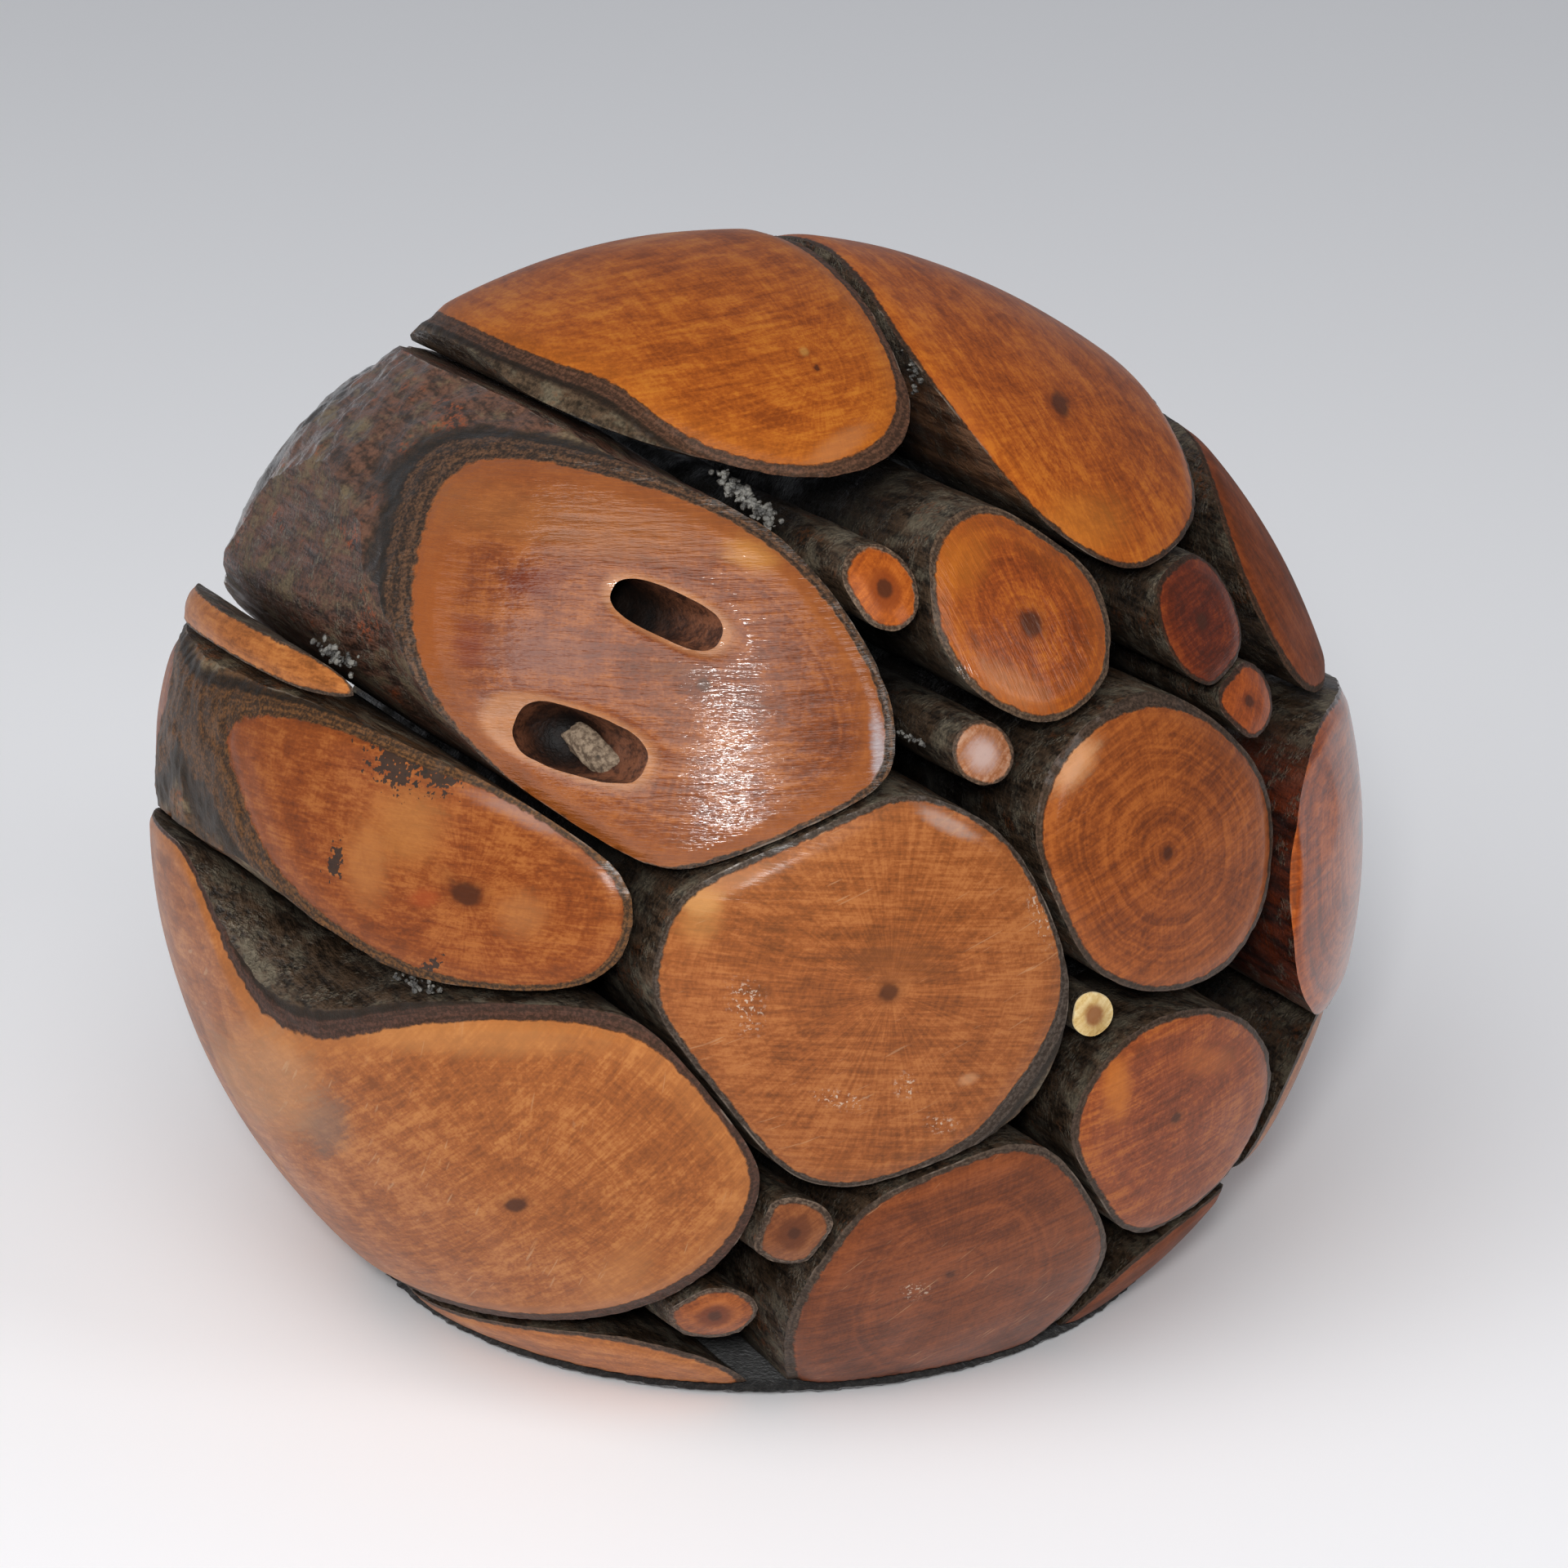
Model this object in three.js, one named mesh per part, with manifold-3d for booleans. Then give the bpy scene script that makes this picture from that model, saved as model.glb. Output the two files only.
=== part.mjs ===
// Wooden paperweight: a bundle of natural branches and twigs, bedded flat against each other, turned
// to a ball and cut flat below, where a felt pad is glued on. Millimetres, +Z up. The origin is the
// middle of the pad's underside, and the side with the two beetle galleries faces -Y.
import * as THREE from "three";
import { mergeVertices } from "three/addons/utils/BufferGeometryUtils.js";
import Module from "manifold-3d";

// The ball, a little out of round, with its longest diameter tipped down towards +X
const BALL_LONG = 86.8;
const BALL_SHORT = 83.6;
const BALL_DEEP = 85.2;
const BALL_TIP = 26;
const BALL_CENTRE_HEIGHT = 31.7;

// The felt pad, and how far its edge stays inside the edge of the wood's flat base
const PAD_THICKNESS = 0.8;
const PAD_INSET = 0.8;
const PAD_CLEARANCE = 0.3;

// The branches all run one way: towards -Y, turned towards +X, and rising a little
const BUNDLE_HEADING = 20;
const BUNDLE_RISE = 10;
const BEDDING_GAP = 0.3;

// How fine the facets are: the length of one side, on the ball and round a branch, and the fewest sides
const BALL_FACET = 5.5;
const BRANCH_FACET = 2.7;
const FEWEST_SIDES = 12;
const FLARE_STEPS = 4;
const GALLERY_SIDES = 20;
const PAD_SIDES = 64;

// The bundle is a grown form, so its lengths are hundredths of the ball's half widths: of BALL_SHORT
// for up, of BALL_LONG for all others. Each branch crosses the section plane, square to the bundle, at
// a place across and up from the ball's centre. A low branch is placed over the wood's flat base
// instead of up from the centre. Its section is an oval with half widths over the bark, the first one
// turned up from across. A plane is a face planed flat, so far from the branch's middle and facing an
// angle. A swell or a hollow changes the oval by a share, facing an angle, over a spread of degrees. A
// flare widens the branch on its way to the back, from one distance in front of the section plane to
// another. A proud branch stands out of the ball, or, below zero, is cut back.
const BRANCHES = [
  { name: "top_left_branch", tone: "golden", at: [-19.5, 100.5], oval: [39.5, 25.6], turn: 150,
    hollow: { facing: 228, share: 0.16, spread: 22 },
    flares: [{ facing: 238, spread: 26, from: 70, to: 25, rise: 16 }] },
  { name: "top_right_branch", tone: "golden", at: [39, 78.5], oval: [32.4, 24.6], turn: 131,
    plane: { facing: 204, out: 19.7 } },
  { name: "right_shoulder_branch", tone: "red", at: [82, 40.5], oval: [23.8, 15.8], turn: 113 },
  { name: "galleried_branch", tone: "red", at: [-39, 45], oval: [36.4, 29.7], turn: 141,
    swell: { facing: 118, share: 0.12, spread: 22 },
    flares: [{ facing: 100, spread: 30, from: 60, to: 0, rise: 14 },
      { facing: 197, spread: 25, from: 45, to: 0, rise: 13 }] },
  { name: "left_branch", tone: "golden", at: [-71, 14], oval: [24.6, 18.1], turn: 155,
    swell: { facing: 128, share: 0.45, spread: 24 },
    flares: [{ facing: 150, spread: 30, from: 50, to: 0, rise: 14 }] },
  { name: "lower_left_branch", tone: "brown", at: [-65.5, -38], oval: [38.3, 34.9], turn: 14,
    flares: [{ facing: 136, spread: 18, from: 46, to: -18, rise: 28 }] },
  { name: "middle_branch", tone: "brown", at: [-14.5, -7], oval: [35.9, 34.1], turn: 116 },
  { name: "right_branch", tone: "brown", at: [37, 9], oval: [26.7, 24], turn: 134 },
  { name: "upper_middle_branch", tone: "golden", at: [18, 48.5], oval: [17.7, 15.4], turn: 124 },
  { name: "right_edge_branch", tone: "red", at: [84, -7], oval: [28.7, 22.1], turn: 87, proud: 1.8,
    plane: { facing: 180, out: 21.7 } },
  { name: "lower_right_branch", tone: "brown", at: [41.5, -41], oval: [25.8, 20.7], turn: 136 },
  { name: "bottom_branch", tone: "brown", at: [4.5, -66], oval: [32.9, 28.2], turn: 105 },
  { name: "bottom_right_branch", tone: "brown", at: [49.5], overBase: -7.2, oval: [22.3, 16], turn: 43 },
  { name: "right_low_edge_branch", tone: "brown", at: [80.5, -49], oval: [21.3, 12.8], turn: 62 },
  { name: "bottom_left_branch", tone: "brown", at: [-45], overBase: -12.9, oval: [26.6, 15.5], turn: 162 },
  { name: "dark_twig", tone: "red", at: [52.5, 41], oval: [10.9, 9.3], turn: 114 },
  { name: "dark_twig_neighbour", tone: "red", at: [59, 27], oval: [7.4, 6.2], turn: 154 },
  { name: "upper_twig", tone: "golden", at: [-4, 55.5], oval: [6.9, 6.3], turn: 108 },
  { name: "pale_ringed_twig", tone: "golden", at: [6.5, 29.5], oval: [5.8, 5.5], turn: 148 },
  { name: "peeled_twig", tone: "pale", at: [23, -16.5], oval: [4.4, 3.8], turn: 138, proud: -3.5 },
  { name: "lower_twig", tone: "golden", at: [-25.5, -47.5], oval: [7.6, 6.5], turn: 120 },
  { name: "bottom_twig", tone: "golden", at: [-34, -64.5], oval: [7, 6.4], turn: 148 },
  { name: "sliver_twig", tone: "golden", at: [-86, 44.5], oval: [8.3, 3.3], turn: 155 },
];

// Two beetle galleries slant into the galleried branch: where each opens in the section plane, its
// bore, how far it leans from square to the surface, the way it leans, and how far in it goes
const GALLERIES = [
  { at: [-35.5, 54], bore: [10.1, 10.1], slant: 60, facing: 155, depth: 35 },
  { at: [-52.5, 35.5], bore: [13.8, 12.4], slant: 60, facing: 155, depth: 13 },
];

// One hundredth of the ball's half widths, in millimetres, for the lengths above
const SIDEWAYS = BALL_LONG / 200;
const UPWARD = BALL_SHORT / 200;

const TONES = { golden: "#b0692c", brown: "#94562c", red: "#84421f", pale: "#dcbd7f" };

// Far enough along the bundle, either way, to be clear of the ball
const THROUGH = 200;

// Corners between a branch's planes are rounded by summing high powers: the higher, the sharper
const CORNER_SHARPNESS = 16;
// A plane only shapes the section where it faces within about 85 degrees of the direction looked in
const LEAST_FACING = 0.08;

const wasm = await Module();
wasm.setup();

const radians = THREE.MathUtils.degToRad;

// The section plane's frame: across is level, up leans back with the rise, along is the bundle's way
const across = new THREE.Vector3(Math.cos(radians(BUNDLE_HEADING)), Math.sin(radians(BUNDLE_HEADING)), 0);
const along = new THREE.Vector3(
  Math.sin(radians(BUNDLE_HEADING)) * Math.cos(radians(BUNDLE_RISE)),
  -Math.cos(radians(BUNDLE_HEADING)) * Math.cos(radians(BUNDLE_RISE)),
  Math.sin(radians(BUNDLE_RISE)),
);
const up = new THREE.Vector3().crossVectors(along, across);

// The ball as a unit sphere pulled to three diameters and tipped about Y
const ballShape = new THREE.Matrix4()
  .makeRotationY(radians(BALL_TIP))
  .multiply(new THREE.Matrix4().makeScale(BALL_LONG / 2, BALL_DEEP / 2, BALL_SHORT / 2));

// The flat base is an oval slice of the ball. Its middle isn't below the ball's centre, because the
// ball is tipped: it is halfway between the slice's two ends along X.
const woodBottom = PAD_THICKNESS + PAD_CLEARANCE;
const slice = sliceOfBall(BALL_CENTRE_HEIGHT - woodBottom);
const ballCentre = new THREE.Vector3(-slice.middle, 0, BALL_CENTRE_HEIGHT);

// The oval where a level plane so far below the ball's centre cuts it
function sliceOfBall(below) {
  const cos2 = Math.cos(radians(BALL_TIP)) ** 2;
  const sin2 = 1 - cos2;
  const flat = (BALL_LONG / 2) ** -2;
  const steep = (BALL_SHORT / 2) ** -2;
  const xx = flat * cos2 + steep * sin2;
  const zz = flat * sin2 + steep * cos2;
  const xz = (steep - flat) * Math.sqrt(cos2 * sin2);
  const middle = (xz * below) / xx;
  const left = 1 - zz * below ** 2 + xx * middle ** 2;
  return { middle, halfX: Math.sqrt(left / xx), halfY: (Math.sqrt(left) * BALL_DEEP) / 2 };
}

// Where a branch or a gallery's mouth lies in the section plane
function placeOf({ at, overBase }) {
  const base = (woodBottom - BALL_CENTRE_HEIGHT) / UPWARD;
  return new THREE.Vector2(at[0], overBase === undefined ? at[1] : base + overBase);
}

// Smallest turn from one angle to another, in degrees, to either side
function turnBetween(angle, facing) {
  return Math.abs(((((angle - facing) % 360) + 540) % 360) - 180);
}

// A bump of one at the angle it faces, falling off over its spread
function bump(angle, shape) {
  return Math.exp(-((turnBetween(angle, shape.facing) / shape.spread) ** 2));
}

// How far a branch's bark reaches from its middle, before it is bedded against its neighbours
function freeReach(branch, angle, distance = THROUGH) {
  const [a, b] = branch.oval;
  const turned = radians(angle - branch.turn);
  const oval = (a * b) / Math.hypot(b * Math.cos(turned), a * Math.sin(turned));
  const swell = branch.swell ? branch.swell.share * bump(angle, branch.swell) : 0;
  const hollow = branch.hollow ? branch.hollow.share * bump(angle, branch.hollow) : 0;
  return oval * (1 + swell - hollow) + flareAt(branch, angle, distance);
}

// How much a flared branch has widened, so far along the bundle
function flareAt(branch, angle, distance) {
  let widened = 0;
  for (const flare of branch.flares ?? []) {
    const way = THREE.MathUtils.clamp((flare.from - distance) / (flare.from - flare.to), 0, 1);
    widened += ((flare.rise * (1 - Math.cos(Math.PI * way))) / 2) * bump(angle, flare);
  }
  return widened;
}

// The way a branch's oval faces where a ray at an angle from its middle leaves it
function ovalNormal(branch, angle) {
  const [a, b] = branch.oval;
  const turned = radians(angle - branch.turn);
  return new THREE.Vector2(Math.cos(turned) / a ** 2, Math.sin(turned) / b ** 2)
    .normalize()
    .rotateAround(new THREE.Vector2(), radians(branch.turn));
}

// The planes where a branch is bedded against the others. Two branches share what is between them:
// the plane lies halfway between their ovals, and each stays half a bedding gap away from it.
function beddingPlanes(branch) {
  return BRANCHES.filter((other) => other !== branch).map((other) => {
    const to = placeOf(other).sub(placeOf(branch));
    const apart = to.length();
    const angle = THREE.MathUtils.radToDeg(to.angle());
    const reach = (apart + freeReach(branch, angle) - freeReach(other, angle + 180)) / 2;
    const normal = ovalNormal(branch, angle).sub(ovalNormal(other, angle + 180)).normalize();
    return { normal, out: (reach * normal.dot(to)) / apart - BEDDING_GAP / 2 / SIDEWAYS };
  });
}

// A branch's planes: those it is bedded on and the one that was planed
function planesOf(branch) {
  const planes = beddingPlanes(branch);
  if (branch.plane) {
    const facing = radians(branch.plane.facing);
    const normal = new THREE.Vector2(Math.cos(facing), Math.sin(facing));
    planes.push({ normal, out: branch.plane.out });
  }
  return planes;
}

// How far a branch reaches from its middle at an angle, so far along the bundle
function reachOf(branch, planes, angle, distance) {
  const ray = new THREE.Vector2(Math.cos(radians(angle)), Math.sin(radians(angle)));
  let sum = freeReach(branch, angle, distance) ** -CORNER_SHARPNESS;
  for (const plane of planes) {
    const facing = plane.normal.dot(ray);
    if (facing > LEAST_FACING) sum += (plane.out / facing) ** -CORNER_SHARPNESS;
  }
  return sum ** (-1 / CORNER_SHARPNESS);
}

// A point of the section plane, moved along the bundle, in the part's frame and millimetres
function pointAt(u, w, distance) {
  const point = ballCentre.clone().addScaledVector(across, u * SIDEWAYS).addScaledVector(up, w * UPWARD);
  return point.addScaledVector(along, distance * SIDEWAYS);
}

// Where a flared branch needs rings between its two ends, evenly along its flares
function flareStations(branch) {
  if (!branch.flares) return [];
  const from = Math.max(...branch.flares.map((flare) => flare.from));
  const to = Math.min(...branch.flares.map((flare) => flare.to));
  return Array.from({ length: FLARE_STEPS + 1 }, (_, i) => to + ((from - to) * i) / FLARE_STEPS);
}

// A branch as a closed bar through the whole ball, with a ring of points at each of its stations
function barGeometry(branch) {
  const round = 2 * Math.PI * Math.max(...branch.oval) * SIDEWAYS;
  const sides = Math.max(FEWEST_SIDES, Math.round(round / BRANCH_FACET));
  const stations = [-THROUGH, ...flareStations(branch), THROUGH];
  const planes = planesOf(branch);
  const middle = placeOf(branch);
  const positions = [];
  for (const distance of stations) {
    for (let i = 0; i < sides; i += 1) {
      const angle = (360 * i) / sides;
      const reach = reachOf(branch, planes, angle, distance);
      const u = middle.x + reach * Math.cos(radians(angle));
      const w = middle.y + reach * Math.sin(radians(angle));
      positions.push(...pointAt(u, w, distance).toArray());
    }
    positions.push(...pointAt(middle.x, middle.y, distance).toArray());
  }
  const ring = sides + 1;
  const last = (stations.length - 1) * ring;
  const index = [];
  for (let i = 0; i < sides; i += 1) {
    const next = (i + 1) % sides;
    index.push(next, i, sides);
    index.push(last + i, last + next, last + sides);
    for (let start = 0; start < last; start += ring) {
      index.push(start + i, start + next, start + ring + next);
      index.push(start + i, start + ring + next, start + ring + i);
    }
  }
  const geometry = new THREE.BufferGeometry();
  geometry.setAttribute("position", new THREE.Float32BufferAttribute(positions, 3));
  geometry.setIndex(index);
  return geometry;
}

// The turned ball, cut flat below, that much larger or smaller than the plain one
function ballGeometry(proud) {
  const arc = Math.PI / 2;
  const detail = Math.round((arc * BALL_LONG) / 2 / BALL_FACET);
  const geometry = new THREE.IcosahedronGeometry(1, detail);
  geometry.applyMatrix4(ballShape);
  const grown = 1 + proud / 100;
  geometry.scale(grown, grown, grown);
  geometry.translate(...ballCentre.toArray());
  return geometry;
}

// Everything below the wood's flat base
function underBaseGeometry() {
  const size = 2 * BALL_LONG;
  return new THREE.BoxGeometry(size, size, size).translate(0, 0, woodBottom - size / 2);
}

// A beetle gallery: an oval bore that slants in from its mouth on the ball
function galleryGeometry(gallery) {
  const mouth = mouthOf(placeOf(gallery));
  const outward = mouth.clone().sub(ballCentre).normalize();
  const facing = radians(gallery.facing);
  const lean = across.clone().multiplyScalar(Math.cos(facing)).addScaledVector(up, Math.sin(facing));
  lean.addScaledVector(outward, -lean.dot(outward)).normalize();
  const inward = outward.clone().multiplyScalar(-Math.cos(radians(gallery.slant)));
  inward.addScaledVector(lean, Math.sin(radians(gallery.slant)));
  const [wide, high] = gallery.bore.map((bore) => bore * SIDEWAYS);
  const length = gallery.depth * SIDEWAYS + 2 * wide;
  const geometry = new THREE.CylinderGeometry(0.5, 0.5, 1, GALLERY_SIDES);
  geometry.scale(wide, length, high);
  geometry.translate(0, length / 2 - 2 * wide, 0);
  const side = new THREE.Vector3().crossVectors(lean, outward);
  const level = new THREE.Vector3().crossVectors(inward, side).normalize();
  geometry.applyMatrix4(new THREE.Matrix4().makeBasis(level, inward, side));
  geometry.translate(...mouth.toArray());
  return geometry;
}

// The point of the ball's front that lies at a place of the section plane
function mouthOf(place) {
  const toUnit = new THREE.Matrix4().copy(ballShape).invert();
  const start = pointAt(place.x, place.y, 0).sub(ballCentre).applyMatrix4(toUnit);
  const step = along.clone().applyMatrix4(toUnit);
  const a = step.dot(step);
  const b = start.dot(step);
  const distance = (Math.sqrt(b * b - a * (start.dot(start) - 1)) - b) / a;
  return pointAt(place.x, place.y, distance / SIDEWAYS);
}

// A geometry as a solid, and a solid as a geometry
function solidOf(geometry) {
  geometry.deleteAttribute("normal");
  geometry.deleteAttribute("uv");
  const merged = mergeVertices(geometry, 1e-4);
  const vertProperties = merged.attributes.position.array;
  const triVerts = new Uint32Array(merged.index.array);
  return new wasm.Manifold(new wasm.Mesh({ numProp: 3, vertProperties, triVerts }));
}

function geometryOf(solid) {
  const mesh = solid.getMesh();
  const geometry = new THREE.BufferGeometry();
  geometry.setAttribute("position", new THREE.BufferAttribute(mesh.vertProperties, 3));
  geometry.setIndex(new THREE.BufferAttribute(mesh.triVerts, 1));
  geometry.computeVertexNormals();
  return geometry;
}

function branchMesh(branch) {
  const ball = solidOf(ballGeometry(branch.proud ?? 0)).subtract(solidOf(underBaseGeometry()));
  let solid = solidOf(barGeometry(branch)).intersect(ball);
  if (branch.name === "galleried_branch") {
    for (const gallery of GALLERIES) {
      solid = solid.subtract(solidOf(galleryGeometry(gallery)));
    }
  }
  const material = new THREE.MeshStandardMaterial({ color: TONES[branch.tone], roughness: 0.35 });
  const mesh = new THREE.Mesh(geometryOf(solid), material);
  mesh.name = branch.name;
  return mesh;
}

function padMesh() {
  const geometry = new THREE.CylinderGeometry(1, 1, PAD_THICKNESS, PAD_SIDES).rotateX(Math.PI / 2);
  geometry.scale(slice.halfX - PAD_INSET, slice.halfY - PAD_INSET, 1);
  geometry.translate(0, 0, PAD_THICKNESS / 2);
  const mesh = new THREE.Mesh(geometry, new THREE.MeshStandardMaterial({ color: "#141311", roughness: 1 }));
  mesh.name = "felt_pad";
  return mesh;
}

const paperweight = new THREE.Group();
paperweight.add(...BRANCHES.map(branchMesh), padMesh());

export default paperweight;
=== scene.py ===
"""The looks of the wooden paperweight: a ball turned from a bundle of branches."""

import math

import bpy
import numpy as np
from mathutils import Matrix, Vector


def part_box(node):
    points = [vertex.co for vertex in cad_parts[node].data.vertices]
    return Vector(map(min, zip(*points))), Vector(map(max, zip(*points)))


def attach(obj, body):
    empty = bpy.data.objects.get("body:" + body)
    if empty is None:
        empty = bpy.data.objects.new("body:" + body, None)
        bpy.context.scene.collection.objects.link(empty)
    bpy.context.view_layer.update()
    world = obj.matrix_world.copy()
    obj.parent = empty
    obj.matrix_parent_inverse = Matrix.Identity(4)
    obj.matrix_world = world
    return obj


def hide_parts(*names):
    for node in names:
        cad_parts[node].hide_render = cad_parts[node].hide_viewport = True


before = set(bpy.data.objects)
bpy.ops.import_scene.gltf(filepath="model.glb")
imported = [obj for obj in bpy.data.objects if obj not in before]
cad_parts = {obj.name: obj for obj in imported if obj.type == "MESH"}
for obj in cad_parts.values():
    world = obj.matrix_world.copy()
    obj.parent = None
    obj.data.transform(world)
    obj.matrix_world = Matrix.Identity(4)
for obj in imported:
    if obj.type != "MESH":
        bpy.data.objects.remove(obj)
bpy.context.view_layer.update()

MM = 0.001

# The ball and the bundle, as in the part's source, in millimetres and degrees
BALL_LONG, BALL_SHORT, BALL_DEEP = 86.8, 83.6, 85.2
BALL_TIP = math.radians(26)
BALL_CENTRE = np.array([-0.93, 0.0, 31.7])
WOOD_BOTTOM = 1.1
BUNDLE_HEADING, BUNDLE_RISE = math.radians(20), math.radians(10)
BEDDING_GAP = 0.3
SIDEWAYS, UPWARD = BALL_LONG / 200, BALL_SHORT / 200
CORNER_SHARPNESS = 16
LEAST_FACING = 0.08
THROUGH = 106
LEAST_REACH, LEAST_OUT, WOOD_REST = 0.3, 0.5, 0.35

ACROSS = np.array([math.cos(BUNDLE_HEADING), math.sin(BUNDLE_HEADING), 0])
ALONG = np.array([
    math.sin(BUNDLE_HEADING) * math.cos(BUNDLE_RISE),
    -math.cos(BUNDLE_HEADING) * math.cos(BUNDLE_RISE),
    math.sin(BUNDLE_RISE),
])
UP = np.cross(ALONG, ACROSS)

# How fine the meshes are: the cells of a bark flank, round the branch and along it, in millimetres
FLANK_ROUND, FLANK_ALONG = 0.55, 0.9
BALL_SUBDIVISIONS = 8

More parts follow.
